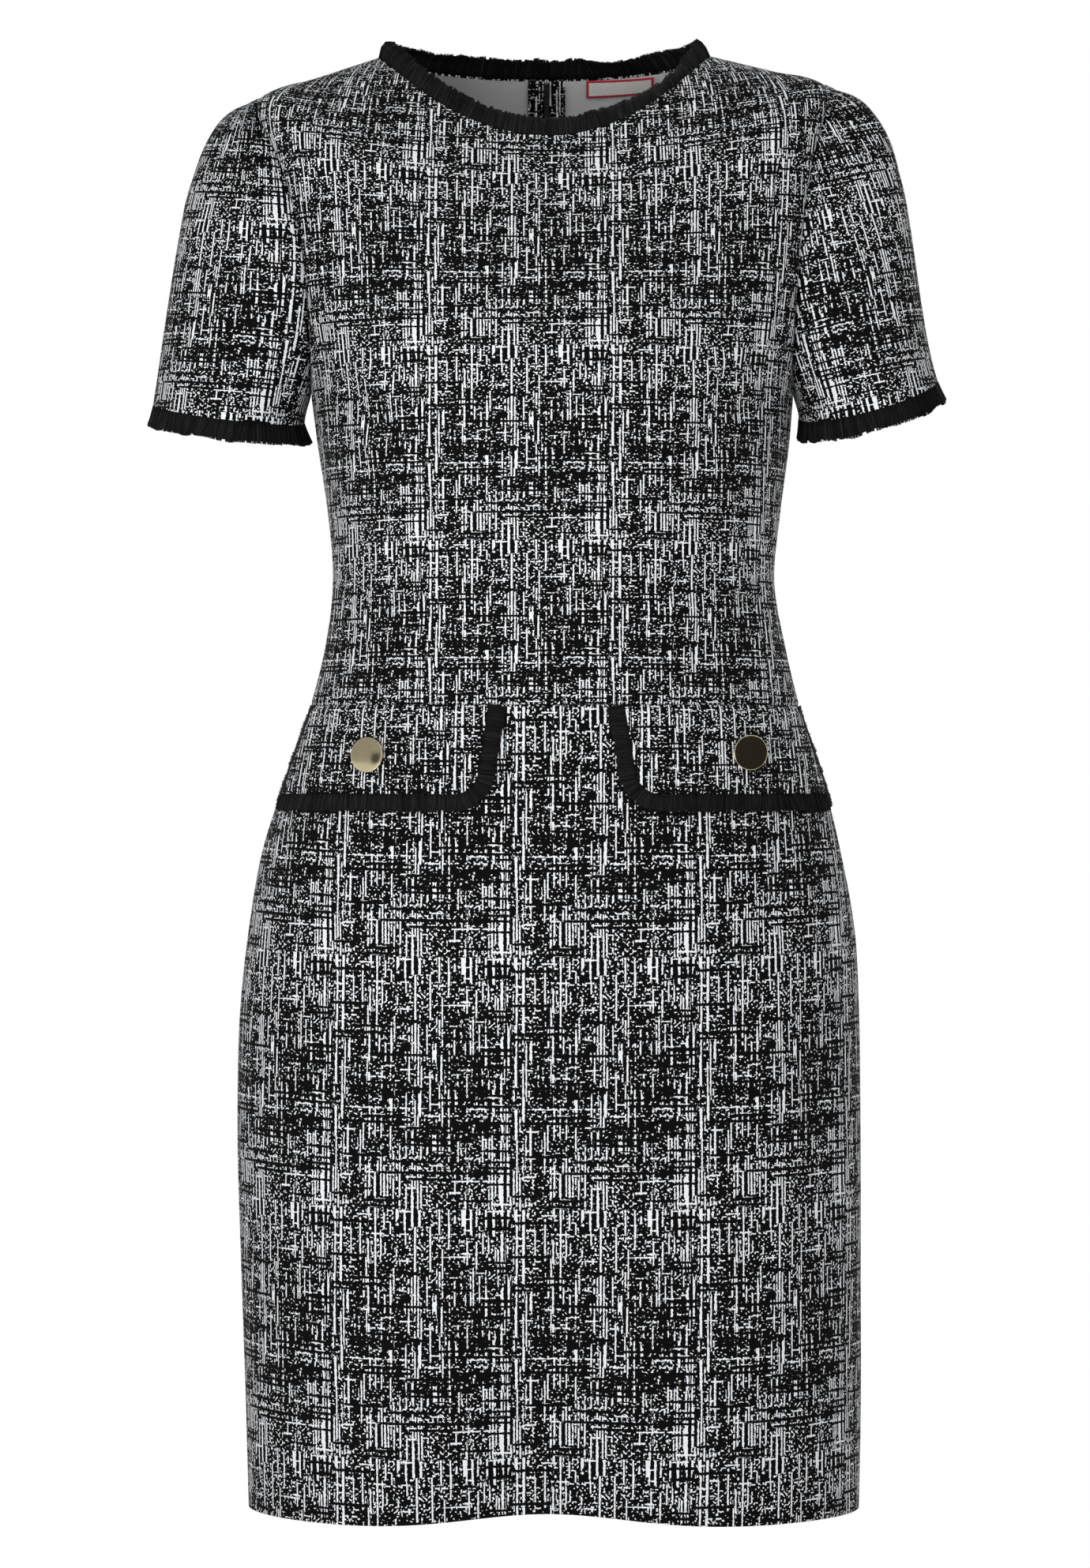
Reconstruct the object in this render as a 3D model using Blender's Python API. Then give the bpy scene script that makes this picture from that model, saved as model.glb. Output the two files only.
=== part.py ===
"""A short-sleeved shift dress, filled out as it is when worn, with nothing inside it.

Frame: metres, +Z up. The front of the dress faces -Y and the wearer's left is +X. The origin lies midway
between the two high shoulder points, where the wearer's shoulders carry the dress.

The body is one ring surface, given by a short table of sections. Every body piece, flap, seam allowance and
fringe is read from that surface, so neighbours share the same curve and the same mitre along a seam. A sleeve
is a loft from its armhole to its cuff.
"""

import math
from collections import namedtuple

import bmesh
import bpy
import numpy as np
from mathutils import Matrix, Vector

MM = 0.001

# Cloth
WALL = 1.8  # thickness of the jersey
SEAM_GAP = 0.3  # between two pieces that are sewn to each other
LAY_GAP = 0.35  # between a panel and what lies on it
TURN = 1.2  # thickness of a turned seam allowance

# Where the main seams and edges are, as levels of the section table below, in millimetres
HEM = -950
WAIST_SEAM = -421
UNDERARM = -216
SHOULDER_TIP = -20
NECK = 63

# The grid of the panels
HALF_COLUMNS = 12  # from a side seam to the middle of the front or back
SKIRT_ROWS = 12
BODICE_ROWS = 7
ARMHOLE_ROWS = 12
SHOULDER_ROWS = 4
SLEEVE_ROWS = 9

# One row for each section of the body, from the hem up, in millimetres. level is the height of the side seam,
# and past the shoulder tip it goes on along the shoulder seam. side_right, side_left, front and back are the
# heights of the ring at its four quarter points, right and left its half widths, fore and aft its depths,
# square the exponent of its superellipse, and hollow how far the middle of the front sinks in. Where it
# sinks, the cloth is drawn up as well, by the share HOLLOW_LIFT.
Section = namedtuple("Section", "level side_right side_left front back right left fore aft square hollow")
SECTIONS = (
    Section(-950, -946, -947, -951, -950, 195.5, 205.5, 122, 119, 2.35, 26),
    Section(-890, -888, -889, -890, -890, 197.3, 206.5, 124, 121, 2.35, 20),
    Section(-790, -790, -790, -790, -790, 200.8, 206.5, 127, 124, 2.32, 11),
    Section(-684, -684, -684, -684, -684, 203.4, 206.3, 128, 127, 2.30, 3),
    Section(-619, -619, -619, -619, -619, 201.4, 205.5, 128, 128, 2.30, 0),
    Section(-567, -567, -567, -567, -567, 195.6, 202.6, 127, 126, 2.30, 0),
    Section(-515, -515, -515, -515, -515, 186.6, 192.9, 124, 121, 2.28, 0),
    Section(-463, -463, -463, -463, -463, 169.8, 179.6, 118, 112, 2.25, 0),
    Section(-421, -421, -421, -421, -421, 155.2, 166.4, 113, 104, 2.22, 0),
    Section(-383, -383, -383, -383, -383, 145.6, 157.2, 109, 97, 2.20, 0),
    Section(-340, -340, -340, -340, -340, 140.6, 149.8, 109, 91, 2.20, 0),
    Section(-295, -295, -295, -295, -295, 143.8, 153.6, 117, 94, 2.22, 0),
    Section(-250, -250, -250, -250, -250, 150.4, 159.4, 129, 103, 2.25, 0),
    Section(-208, -208, -208, -210, -209, 156.3, 163.4, 133, 111, 2.25, 0),
    Section(-165, -165, -165, -180, -174, 166.0, 173.0, 127, 113, 2.22, 0),
    Section(-112, -112, -110, -148, -131, 174.5, 181.0, 115, 110, 2.18, 0),
    Section(-62, -62, -57, -121, -92, 184.0, 184.5, 102, 102, 2.12, 0),
    Section(-20, -21, -12, -99, -60, 192.5, 186.5, 90, 92, 2.06, 0),
    Section(21, -7.7, -3.2, -75, -31, 152.5, 150.5, 77, 79, 2.02, 0),
    Section(63, 6, 7, -51.5, -1, 111.0, 108.0, 62, 62, 2.00, 0),
)
HOLLOW_SPREAD = 62  # half width of the hollow in the front of the skirt
HOLLOW_LIFT = 0.38

# The armhole is an oval on the body: its height runs from UNDERARM to SHOULDER_TIP
ARMHOLE_FRONT = 24.0  # degrees forward of the side, at its widest
ARMHOLE_BACK = 26.0

# The cuffs, in millimetres. depth is half the opening from front to back, dip how much lower its front is
# than the middle, and flare how far the outer side of the sleeve slants out above it. cap and reach say how
# strongly the sleeve leaves its armhole and arrives at its cuff, as shares of its length.
Cuff = namedtuple("Cuff", "side outer_x outer_z inner_x inner_z depth dip flare cap reach")
CUFFS = {
    "right": Cuff(-1, 259.5, -224, 159.3, -237, 59, 9, 0.18, 0.70, 0.90),
    "left": Cuff(1, 258.5, -209, 166.0, -234, 59, 9, 0.40, 0.90, 0.80),
}

# How a sleeve leaves its armhole, as out, ahead and up, at the underarm and at the shoulder tip, and how it
# arrives at its cuff, as out and ahead, on its inner side
LEAVE_UNDERARM = (0.30, -0.30, -0.95)
LEAVE_TIP = (0.96, -0.30, -0.17)
ARRIVE_INNER = 0.02
ARRIVE_AHEAD = -0.05

# Pocket flaps, in millimetres. inner is how far the inner edge lies from the middle of the front, at the
# waist seam and at the flap's foot, and shy how far the outer edge stops short of the side seam.
Flap = namedtuple("Flap", "side inner_top inner_foot drop corner shy button_x button_z turn tip")
FLAPS = {
    "right": Flap(-1, 35.5, 44.0, 54.5, 13.0, 6.0, 114.5, -452.8, 0.0, 0.0),
    "left": Flap(1, 52.0, 61.5, 54.5, 13.0, 6.0, 131.0, -451.8, 0.18, 0.08),
}
FLAP_WALL = 1.6
FLAP_ROWS = 8
FLAP_COLUMNS = 13

# Fringe
FRINGE_GAP = 0.4
FRINGE_STRIP = 2.0
FRINGE_LENGTH = 11.5
LOCK_SHORTEST = 0.90  # as a share of the fringe's length
LOCK_LONGEST = 1.08
LOCK_LEAN = 0.12  # how far a lock leans to its side, as a share of its width
NECK_LEAN = (0.66, 0.42, 0.80)  # how the neck's fringe points: in from the sides, in from the front, and up
CUFF_SPLAY = 0.10
FRINGE_END = 0.6  # from the middle of the back to either end of the neck's fringe
LOCK_TAPER = 0.7
NECK_LOCKS = 92
CUFF_LOCKS = 44
FOOT_LOCKS = 16

# Buttons
BUTTON_RADIUS = 11.4
BUTTON_THICK = 1.9
BUTTON_RIM = 1.3
SHANK_RADIUS = 2.4
SHANK_FOOT = 1.1
SHANK_HEIGHT = 3.0

# Concealed zip, down the middle of the back
ZIP_END = -468
ZIP_TAPE = 11.0  # half width of the two tapes together
ZIP_CHAIN = 1.9  # half width of the coil
ZIP_SKIN = 0.6
ZIP_RIDGE = 2.3
ALLOWANCE_FROM = 2.2
ALLOWANCE_TO = 12.2
ZIP_TOP_OPEN = 1.3  # half the opening above the slider
SLIDER_WIDE = 3.8
SLIDER_TALL = 8.0
SLIDER_DEEP = 2.6
PLATE = 0.8
PLATE_HALF = 2.2
PLATE_FOOT = -5.0
WEB_HALF = 0.45
EAR = 0.9
EAR_HALF = 1.1
SINK = 0.2  # how far the slider's parts reach into each other
BAR_RADIUS = 0.5
BAR_OUT = 2.7  # the hinge bar's height above the cloth
EYE_RADIUS = 1.25
TAB_LONG = 19.0
TAB_WIDE = 5.0
TAB_THICK = 0.9
TAB_NECK = 2.6
HINGE_BELOW_NECK = 3.4  # in levels
SLIDER_ABOVE = 1.5  # how far the slider reaches above its hinge
LEVELS_PER_MM = 1.28  # how many levels of the section table one millimetre of the back takes at the neck

# Label
LABEL_LOW_X = 27.0
LABEL_HIGH_X = 72.0
LABEL_TALL = 11.5
LABEL_THICK = 0.6

# name: colour, roughness, metallic
FINISHES = {
    "jersey": ((0.16, 0.16, 0.17, 1.0), 0.85, 0.0),
    "fringe": ((0.022, 0.020, 0.020, 1.0), 0.80, 0.0),
    "gold": ((0.80, 0.68, 0.47, 1.0), 0.18, 1.0),
    "zip": ((0.02, 0.02, 0.02, 1.0), 0.45, 0.0),
    "label": ((0.80, 0.79, 0.76, 1.0), 0.75, 0.0),
}


def unit(vectors):
    """The vectors, each one long."""
    length = np.linalg.norm(vectors, axis=-1, keepdims=True)
    return vectors / np.maximum(length, 1e-12)


def section(name, level):
    """A column of the section table at any level, as a smooth curve through the rows."""
    at = np.array([row.level for row in SECTIONS], float)
    value = np.array([getattr(row, name) for row in SECTIONS], float)
    step = np.diff(at)
    slope = np.diff(value) / step
    inner = (slope[:-1] * step[1:] + slope[1:] * step[:-1]) / (step[:-1] + step[1:])
    tangent = np.concatenate([slope[:1], inner, slope[-1:]])
    level = np.clip(np.asarray(level, float), at[0], at[-1])
    i = np.clip(np.searchsorted(at, level, side="right") - 1, 0, len(step) - 1)
    u = (level - at[i]) / step[i]
    rise = (3 - 2 * u) * u * u
    leave = u * (1 - u) ** 2 * step[i] * tangent[i]
    arrive = -u * u * (1 - u) * step[i] * tangent[i + 1]
    return value[i] + rise * (value[i + 1] - value[i]) + leave + arrive


def body_at(theta, level):
    """Points of the body's outer face. theta is 0 at the left side and 90 degrees at the front."""
    theta, level = np.broadcast_arrays(np.asarray(theta, float), np.asarray(level, float))
    across, ahead = np.cos(theta), np.sin(theta)
    power = 2 / section("square", level)
    wide = np.where(across >= 0, section("left", level), section("right", level))
    deep = np.where(ahead >= 0, section("fore", level), section("aft", level))
    x = wide * np.sign(across) * np.abs(across) ** power
    y = -deep * np.sign(ahead) * np.abs(ahead) ** power
    sink = section("hollow", level) * np.exp(-((x / HOLLOW_SPREAD) ** 2))
    y = y + np.where(ahead > 0, sink, 0.0)
    left, right = section("side_left", level), section("side_right", level)
    side = (left + right) / 2 + (left - right) / 2 * across
    middle = np.where(ahead >= 0, section("front", level), section("back", level))
    z = side + (middle - side) * ahead**2 + np.where(ahead > 0, sink * HOLLOW_LIFT, 0.0)
    return np.stack([x, y, z], axis=-1)


def body_normal(theta, level):
    """Outward normals of the body's outer face."""
    theta, level = np.broadcast_arrays(np.asarray(theta, float), np.asarray(level, float))
    turn, climb = math.radians(0.4), 0.5
    around = body_at(theta + turn, level) - body_at(theta - turn, level)
    top, low = np.minimum(level + climb, NECK), np.maximum(level - climb, HEM)
    return unit(np.cross(body_at(theta, top) - body_at(theta, low), around))


def theta_at(x, level):
    """The angle of the front at a distance x from the middle, on the side of x's sign."""
    wide = section("left" if x >= 0 else "right", level)
    angle = np.arccos(np.clip(abs(x) / wide, 0, 1) ** (section("square", level) / 2))
    return angle if x >= 0 else math.pi - angle


def armhole(side, psi):
    """(theta, level) along an armhole. psi is 0 at the underarm and 180 degrees at the shoulder tip."""
    level = UNDERARM + (SHOULDER_TIP - UNDERARM) * (1 - np.cos(psi)) / 2
    ahead = np.sin(psi)
    open_by = np.radians(np.where(ahead >= 0, ARMHOLE_FRONT, ARMHOLE_BACK)) * ahead
    return (open_by if side > 0 else math.pi - open_by), level


def sleeve_at(cuff, psi, along):
    """Points of a sleeve's outer face, from its armhole, at 0 along, to its cuff, at 1."""
    psi, along = np.broadcast_arrays(np.asarray(psi, float), np.asarray(along, float))
    start = body_at(*armhole(cuff.side, psi))
    turn, ahead = np.cos(psi), np.sin(psi)
    out = (cuff.outer_x + cuff.inner_x) / 2 - (cuff.outer_x - cuff.inner_x) / 2 * turn
    up = (cuff.outer_z + cuff.inner_z) / 2 - (cuff.outer_z - cuff.inner_z) / 2 * turn
    end = np.stack([cuff.side * out, -cuff.depth * ahead, up - cuff.dip * ahead], axis=-1)
    high = (1 - turn) / 2
    aim_out, aim_ahead, aim_up = (low + (tip - low) * high for low, tip in zip(LEAVE_UNDERARM, LEAVE_TIP))
    leave = np.stack([cuff.side * aim_out, aim_ahead * ahead, aim_up], axis=-1)
    flare = cuff.flare * high + ARRIVE_INNER * (1 - high)
    arrive = np.stack([cuff.side * flare, ARRIVE_AHEAD * ahead, -np.ones_like(high)], axis=-1)
    chord = np.linalg.norm(end - start, axis=-1, keepdims=True)
    u = along[..., None]
    rise = (3 - 2 * u) * u * u
    return (
        start
        + rise * (end - start)
        + u * (1 - u) ** 2 * unit(leave) * chord * cuff.cap
        - u * u * (1 - u) * unit(arrive) * chord * cuff.reach
    )


def sleeve_normal(cuff, psi, along):
    """Outward normals of a sleeve's outer face."""
    psi, along = np.broadcast_arrays(np.asarray(psi, float), np.asarray(along, float))
    turn, run = math.radians(0.5), 0.004
    around = sleeve_at(cuff, psi + turn, along) - sleeve_at(cuff, psi - turn, along)
    far, near = np.minimum(along + run, 1), np.maximum(along - run, 0)
    down = sleeve_at(cuff, psi, far) - sleeve_at(cuff, psi, near)
    return unit(np.cross(down, around)) * cuff.side


def armhole_seam(cuff, psi):
    """(points, mitre, across) along an armhole's seam. across points from the body to the sleeve."""
    theta, level = armhole(cuff.side, psi)
    points = body_at(theta, level)
    later, sooner = armhole(cuff.side, psi + 0.01), armhole(cuff.side, psi - 0.01)
    along = unit(body_at(*later) - body_at(*sooner))
    on_body, on_sleeve = body_normal(theta, level), sleeve_normal(cuff, psi, np.zeros_like(psi))
    mitre = on_body + on_sleeve
    mitre = unit(mitre - (mitre * along).sum(-1, keepdims=True) * along)
    into_sleeve = unit(sleeve_at(cuff, psi, 0.02) - points)
    into_body = np.cross(on_body, along)
    middle = body_at(0.0 if cuff.side > 0 else math.pi, (UNDERARM + SHOULDER_TIP) / 2)
    away = ((points - middle) * into_body).sum(-1, keepdims=True)
    across = unit(np.cross(along, mitre))
    side = ((into_sleeve - into_body * np.sign(away)) * across).sum(-1, keepdims=True)
    lean = np.maximum((mitre * on_body).sum(-1, keepdims=True), 0.5)
    return points, mitre / lean, across * np.sign(side)


def add_object(name, vertices, faces, finish, smooth=True):
    """A closed mesh object, from points in millimetres."""
    mesh = bpy.data.meshes.new(name)
    mesh.from_pydata((np.asarray(vertices) * MM).tolist(), [], faces)
    shape = bmesh.new()
    shape.from_mesh(mesh)
    bmesh.ops.recalc_face_normals(shape, faces=shape.faces)
    shape.to_mesh(mesh)
    shape.free()
    return place(name, mesh, finish, smooth)


def place(name, mesh, finish, smooth=True):
    """An object for a mesh, with its finish."""
    mesh.materials.append(bpy.data.materials[finish])
    if smooth:
        mesh.shade_smooth()
        mesh.set_sharp_from_angle(angle=math.radians(40))
    made = bpy.data.objects.new(name, mesh)
    bpy.context.collection.objects.link(made)
    return made


def make_finishes():
    """One Principled material for each finish."""
    for name, (colour, roughness, metallic) in FINISHES.items():
        material = bpy.data.materials.new(name)
        material.use_nodes = True
        shader = material.node_tree.nodes["Principled BSDF"]
        shader.inputs["Base Color"].default_value = colour
        shader.inputs["Roughness"].default_value = roughness
        shader.inputs["Metallic"].default_value = metallic
        material.diffuse_color = colour


def shell(name, outer, inner, finish, ring=False):
    """A wall between two grids of points. A ring joins its last column to its first."""
    rows, columns = outer.shape[:2]
    across = columns if ring else columns - 1
    far = rows * columns

    def corner(i, j, face):
        return face * far + i * columns + j % columns

    faces = []
    for i in range(rows - 1):
        for j in range(across):
            for face in (0, 1):
                faces.append([corner(i + a, j + b, face) for a, b in ((0, 0), (0, 1), (1, 1), (1, 0))])
    for j in range(across):
        for i in (0, rows - 1):
            faces.append([corner(i, j, 0), corner(i, j + 1, 0), corner(i, j + 1, 1), corner(i, j, 1)])
    if not ring:
        for i in range(rows - 1):
            for j in (0, columns - 1):
                faces.append([corner(i, j, 0), corner(i + 1, j, 0), corner(i + 1, j, 1), corner(i, j, 1)])
    points = np.concatenate([outer.reshape(-1, 3), inner.reshape(-1, 3)])
    return add_object(name, points, faces, finish)


def pull(points, edge, beside, amount):
    """Moves a line of points towards the line beside it, square to its own run, by amount."""
    line = points[edge]
    run = unit(np.gradient(line, axis=0))
    way = points[beside] - line
    way = unit(way - (way * run).sum(-1, keepdims=True) * run)
    points[edge] = line + way * np.broadcast_to(amount, len(line))[:, None]


def levels(low, high, rows):
    """Evenly spaced levels."""
    return np.linspace(low, high, rows + 1)


def body_rows():
    """(levels, psi) of the body's rows from the waist seam up. psi is nan where a row crosses no armhole."""
    psi = np.linspace(0, math.pi, ARMHOLE_ROWS + 1)
    below = levels(WAIST_SEAM, UNDERARM, BODICE_ROWS)[:-1]
    above = levels(SHOULDER_TIP, NECK, SHOULDER_ROWS)[1:]
    level = np.concatenate([below, armhole(1, psi)[1], above])
    return level, np.concatenate([np.full(len(below), np.nan), psi, np.full(len(above), np.nan)])


def panel_grid(level, psi, columns, start, stop, face):
    """Points and wall directions of a body panel. face is 1 for the front and -1 for the back."""
    share = np.linspace(0, 1, columns + 1)
    row_psi = np.nan_to_num(psi) * face
    opened = {}
    for side, name in ((1, "left"), (-1, "right")):
        opened[name] = armhole(side, row_psi)[0]
    ends = []
    for edge in (start, stop):
        if edge == "left":
            ends.append(opened["left"])
        elif edge == "right":
            ends.append(opened["right"] if face > 0 else opened["right"] - 2 * math.pi)
        else:
            ends.append(np.full(len(level), -math.pi / 2))
    theta = ends[0][:, None] + (ends[1] - ends[0])[:, None] * share
    rows = np.broadcast_to(level[:, None], theta.shape)
    return body_at(theta, rows), body_normal(theta, rows)


def sew_armhole(points, wall, psi, side, column, face):
    """Gives the edge of a panel the mitre of its armhole seam, half a seam gap back from it."""
    rows = np.flatnonzero(~np.isnan(psi))
    seam, mitre, across = armhole_seam(CUFFS[side], psi[rows] * face)
    points[rows, column] = seam - across * SEAM_GAP / 2
    wall[rows, column] = mitre
    side_sign = face if face > 0 else -1
    points[rows[0], column, 1] -= side_sign * SEAM_GAP / 2
    points[rows[-1], column, 1] -= side_sign * SEAM_GAP / 2


def make_bodice_front():
    """The front of the bodice, from side seam to side seam and from the waist seam to the neck."""
    level, psi = body_rows()
    points, wall = panel_grid(level, psi, 2 * HALF_COLUMNS, "left", "right", 1)
    plain = np.isnan(psi)
    amount = np.where(plain, SEAM_GAP / 2, 0.0)
    pull(points, np.s_[:, 0], np.s_[:, 1], amount)
    pull(points, np.s_[:, -1], np.s_[:, -2], amount)
    sew_armhole(points, wall, psi, "left", 0, 1)
    sew_armhole(points, wall, psi, "right", -1, 1)
    pull(points, np.s_[0], np.s_[1], SEAM_GAP / 2)
    shell("bodice_front", points, points - wall * WALL, "jersey")


def skirt_levels():
    """The levels of the skirt's rows."""
    return levels(HEM, WAIST_SEAM, SKIRT_ROWS)


def make_skirt_front():
    """The front of the skirt, one piece from side seam to side seam."""
    level = skirt_levels()
    points, wall = panel_grid(level, np.full(len(level), np.nan), 2 * HALF_COLUMNS, "left", "right", 1)
    for edge, beside in ((np.s_[:, 0], np.s_[:, 1]), (np.s_[:, -1], np.s_[:, -2]), (np.s_[-1], np.s_[-2])):
        pull(points, edge, beside, SEAM_GAP / 2)
    shell("skirt_front", points, points - wall * WALL, "jersey")


def back_rows():
    """(levels, psi) of the rows of the back, from the hem to the neck."""
    level, psi = body_rows()
    below = skirt_levels()[:-1]
    return np.concatenate([below, level]), np.concatenate([np.full(len(below), np.nan), psi])


def make_bodice_back(side):
    """One half of the back of the bodice, from the waist seam to the neck."""
    level, psi = body_rows()
    points, wall = panel_grid(level, psi, HALF_COLUMNS, side, "middle", -1)
    pull(points, np.s_[:, 0], np.s_[:, 1], np.where(np.isnan(psi), SEAM_GAP / 2, 0.0))
    sew_armhole(points, wall, psi, side, 0, -1)
    middle_gap = np.full(len(level), SEAM_GAP / 2)
    middle_gap[-1] = ZIP_TOP_OPEN
    pull(points, np.s_[:, -1], np.s_[:, -2], middle_gap)
    pull(points, np.s_[0], np.s_[1], SEAM_GAP / 2)
    shell("bodice_back_" + side, points, points - wall * WALL, "jersey")


def make_skirt_back(side):
    """One half of the back of the skirt, from the hem to the waist seam."""
    level = skirt_levels()
    points, wall = panel_grid(level, np.full(len(level), np.nan), HALF_COLUMNS, side, "middle", -1)
    for edge, beside in ((np.s_[:, 0], np.s_[:, 1]), (np.s_[:, -1], np.s_[:, -2]), (np.s_[-1], np.s_[-2])):
        pull(points, edge, beside, SEAM_GAP / 2)
    shell("skirt_back_" + side, points, points - wall * WALL, "jersey")


def make_sleeve(side):
    """A short set-in sleeve, one ring of cloth."""
    cuff = CUFFS[side]
    psi = np.linspace(0, 2 * math.pi, 2 * ARMHOLE_ROWS, endpoint=False)
    psi = np.where(psi > math.pi, psi - 2 * math.pi, psi)
    along = np.linspace(0, 1, SLEEVE_ROWS + 1)[:, None]
    points, wall = sleeve_at(cuff, psi, along), sleeve_normal(cuff, psi, along)
    seam, mitre, across = armhole_seam(cuff, psi)
    points[0] = seam + across * SEAM_GAP / 2
    wall[0] = mitre
    shell("sleeve_" + side, points, points - wall * WALL, "jersey", ring=True)


def flap_edge(flap, share):
    """The inner edge of a flap: (distance from the middle, level), from the waist seam down."""
    round_from = 1 - flap.corner / flap.drop
    straight = flap.inner_top + (flap.inner_foot - flap.inner_top) * share
    bend = np.clip((share - round_from) / (1 - round_from), 0, 1)
    return straight + flap.corner * (1 - np.sqrt(1 - bend**2)), WAIST_SEAM - SEAM_GAP / 2 - flap.drop * share


def flap_shares():
    """How far down a flap its rows lie, closer together towards the round corner."""
    return np.sin(np.linspace(0, math.pi / 2, FLAP_ROWS + 1))


def flap_thetas(flap, share):
    """(inner edge's angle, outer edge's angle, level) of a flap, down its height."""
    x, level = flap_edge(flap, share)
    inner = np.array([theta_at(flap.side * a, b) for a, b in zip(x, level)])
    turn = flap.shy / section("fore", level)
    outer = turn if flap.side > 0 else math.pi - turn
    return inner, outer, level


def make_flap(side):
    """A mock pocket flap: its top is caught in the waist seam, and it lies on the skirt."""
    flap = FLAPS[side]
    inner, outer, level = flap_thetas(flap, flap_shares())
    theta = outer[:, None] + (inner - outer)[:, None] * np.linspace(0, 1, FLAP_COLUMNS + 1)
    on, out = cloth_at(theta, level[:, None])
    shell("flap_" + side, on + out * (LAY_GAP + FLAP_WALL), on + out * LAY_GAP, "jersey")


def make_fringe(name, low_out, low_in, way, closed):
    """A fringe: a narrow strip along an edge, with a row of wedge-shaped locks that grow from it.

    low_out and low_in are the strip's lower corners at each station, and way is where its locks point.
    """
    stations = len(low_out)
    count = stations if closed else stations - 1
    up_out, up_in = low_out + way * FRINGE_STRIP, low_in + way * FRINGE_STRIP
    after = (np.arange(count) + 1) % stations
    here = np.arange(count)
    middle = (up_out[here] + up_in[here] + up_out[after] + up_in[after]) / 4
    wobble = np.random.default_rng(7)
    reach = FRINGE_LENGTH * wobble.uniform(LOCK_SHORTEST, LOCK_LONGEST, count)
    span = (up_out[after] - up_out[here] + up_in[after] - up_in[here]) / 2
    lean = wobble.uniform(-LOCK_LEAN, LOCK_LEAN, count)[:, None] * span
    tip = middle + unit(way[here] + way[after]) * reach[:, None] + lean
    tip_a, tip_b = tip - span * LOCK_TAPER / 2, tip + span * LOCK_TAPER / 2
    points = np.concatenate([low_out, low_in, up_out, up_in, tip_a, tip_b])
    faces = []
    for i, j in zip(here.tolist(), after.tolist()):
        lo, li, uo, ui = (k * stations + i for k in range(4))
        lo2, li2, uo2, ui2 = (k * stations + j for k in range(4))
        a, b = 4 * stations + i, 4 * stations + count + i
        faces += [[lo, li, li2, lo2], [lo, lo2, uo2, uo], [li, ui, ui2, li2]]
        faces += [[uo, uo2, b, a], [ui, a, b, ui2], [uo, a, ui], [uo2, ui2, b]]
    if not closed:
        for i in (0, stations - 1):
            faces.append([i, stations + i, 3 * stations + i, 2 * stations + i])
    add_object(name, points, faces, "fringe", smooth=False)


def make_neck_fringe():
    """The fringe that stands up round the neck. Its two ends meet at the top of the zip."""
    end = FRINGE_END / section("aft", NECK)
    theta = np.linspace(-math.pi / 2 + end, 1.5 * math.pi - end, NECK_LOCKS + 1)
    edge, out = body_at(theta, NECK), body_normal(theta, NECK)
    on = unit(edge - body_at(theta, NECK - 2))
    aim = np.stack([-np.cos(theta), np.sin(theta), np.ones(len(theta))], axis=-1) * NECK_LEAN
    start = edge + on * FRINGE_GAP
    make_fringe("fringe_neck", start, start - out * WALL, unit(aim), closed=False)


def make_cuff_fringe(side):
    """The fringe that hangs from a cuff."""
    cuff = CUFFS[side]
    psi = np.linspace(0, 2 * math.pi, CUFF_LOCKS, endpoint=False)
    edge, out = sleeve_at(cuff, psi, 1.0), sleeve_normal(cuff, psi, np.ones(len(psi)))
    on = unit(edge - sleeve_at(cuff, psi, 0.97))
    start = edge + on * FRINGE_GAP
    make_fringe("fringe_cuff_" + side, start, start - out * WALL, unit(on + CUFF_SPLAY * out), closed=True)


def flap_outline(flap):
    """(theta, level) of a fringe's stations: down a flap's inner edge, along its foot, up its outer edge."""
    inner, outer, level = flap_thetas(flap, flap_shares())
    foot = np.linspace(0, 1, FOOT_LOCKS + 1)[1:-1]
    foot_theta = inner[-1] + (outer[-1] - inner[-1]) * foot
    rise = np.linspace(0, 1, FLAP_ROWS + 1)
    up_theta = np.interp(rise, [0, 1], [outer[-1], outer[0]])
    up_level = np.interp(rise, [0, 1], [level[-1], level[0]])
    level = np.concatenate([level, np.full(len(foot), level[-1]), up_level])
    return np.concatenate([inner, foot_theta, up_theta]), level


def make_flap_fringe(side):
    """The fringe round the three free edges of a flap. It lies on the skirt."""
    flap = FLAPS[side]
    theta, level = flap_outline(flap)
    edge, out = body_at(theta, level), body_normal(theta, level)
    along = unit(np.gradient(edge, axis=0))
    on = unit(np.cross(along, out)) * flap.side
    on[[0, -1], 2] = 0
    root = body_near(edge + on * FRINGE_GAP)
    head = body_near(edge + on * (FRINGE_GAP + FRINGE_STRIP + FRINGE_LENGTH))
    low_in = root + out * LAY_GAP
    way = unit(head - root)
    make_fringe("fringe_flap_" + side, low_in + out * FLAP_WALL, low_in, way, closed=False)


def body_near(points):
    """The points, moved in or out to the body's outer face at their own height."""
    level = points[:, 2]
    theta = np.arctan2(-points[:, 1] / section("fore", level), points[:, 0] / section("left", level))
    for _ in range(12):
        here = body_at(theta, level)
        around = (body_at(theta + 0.01, level) - body_at(theta - 0.01, level)) / 0.02
        theta = theta + ((points - here) * around).sum(-1) / np.maximum((around**2).sum(-1), 1e-9)
    return body_at(theta, level)


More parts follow.
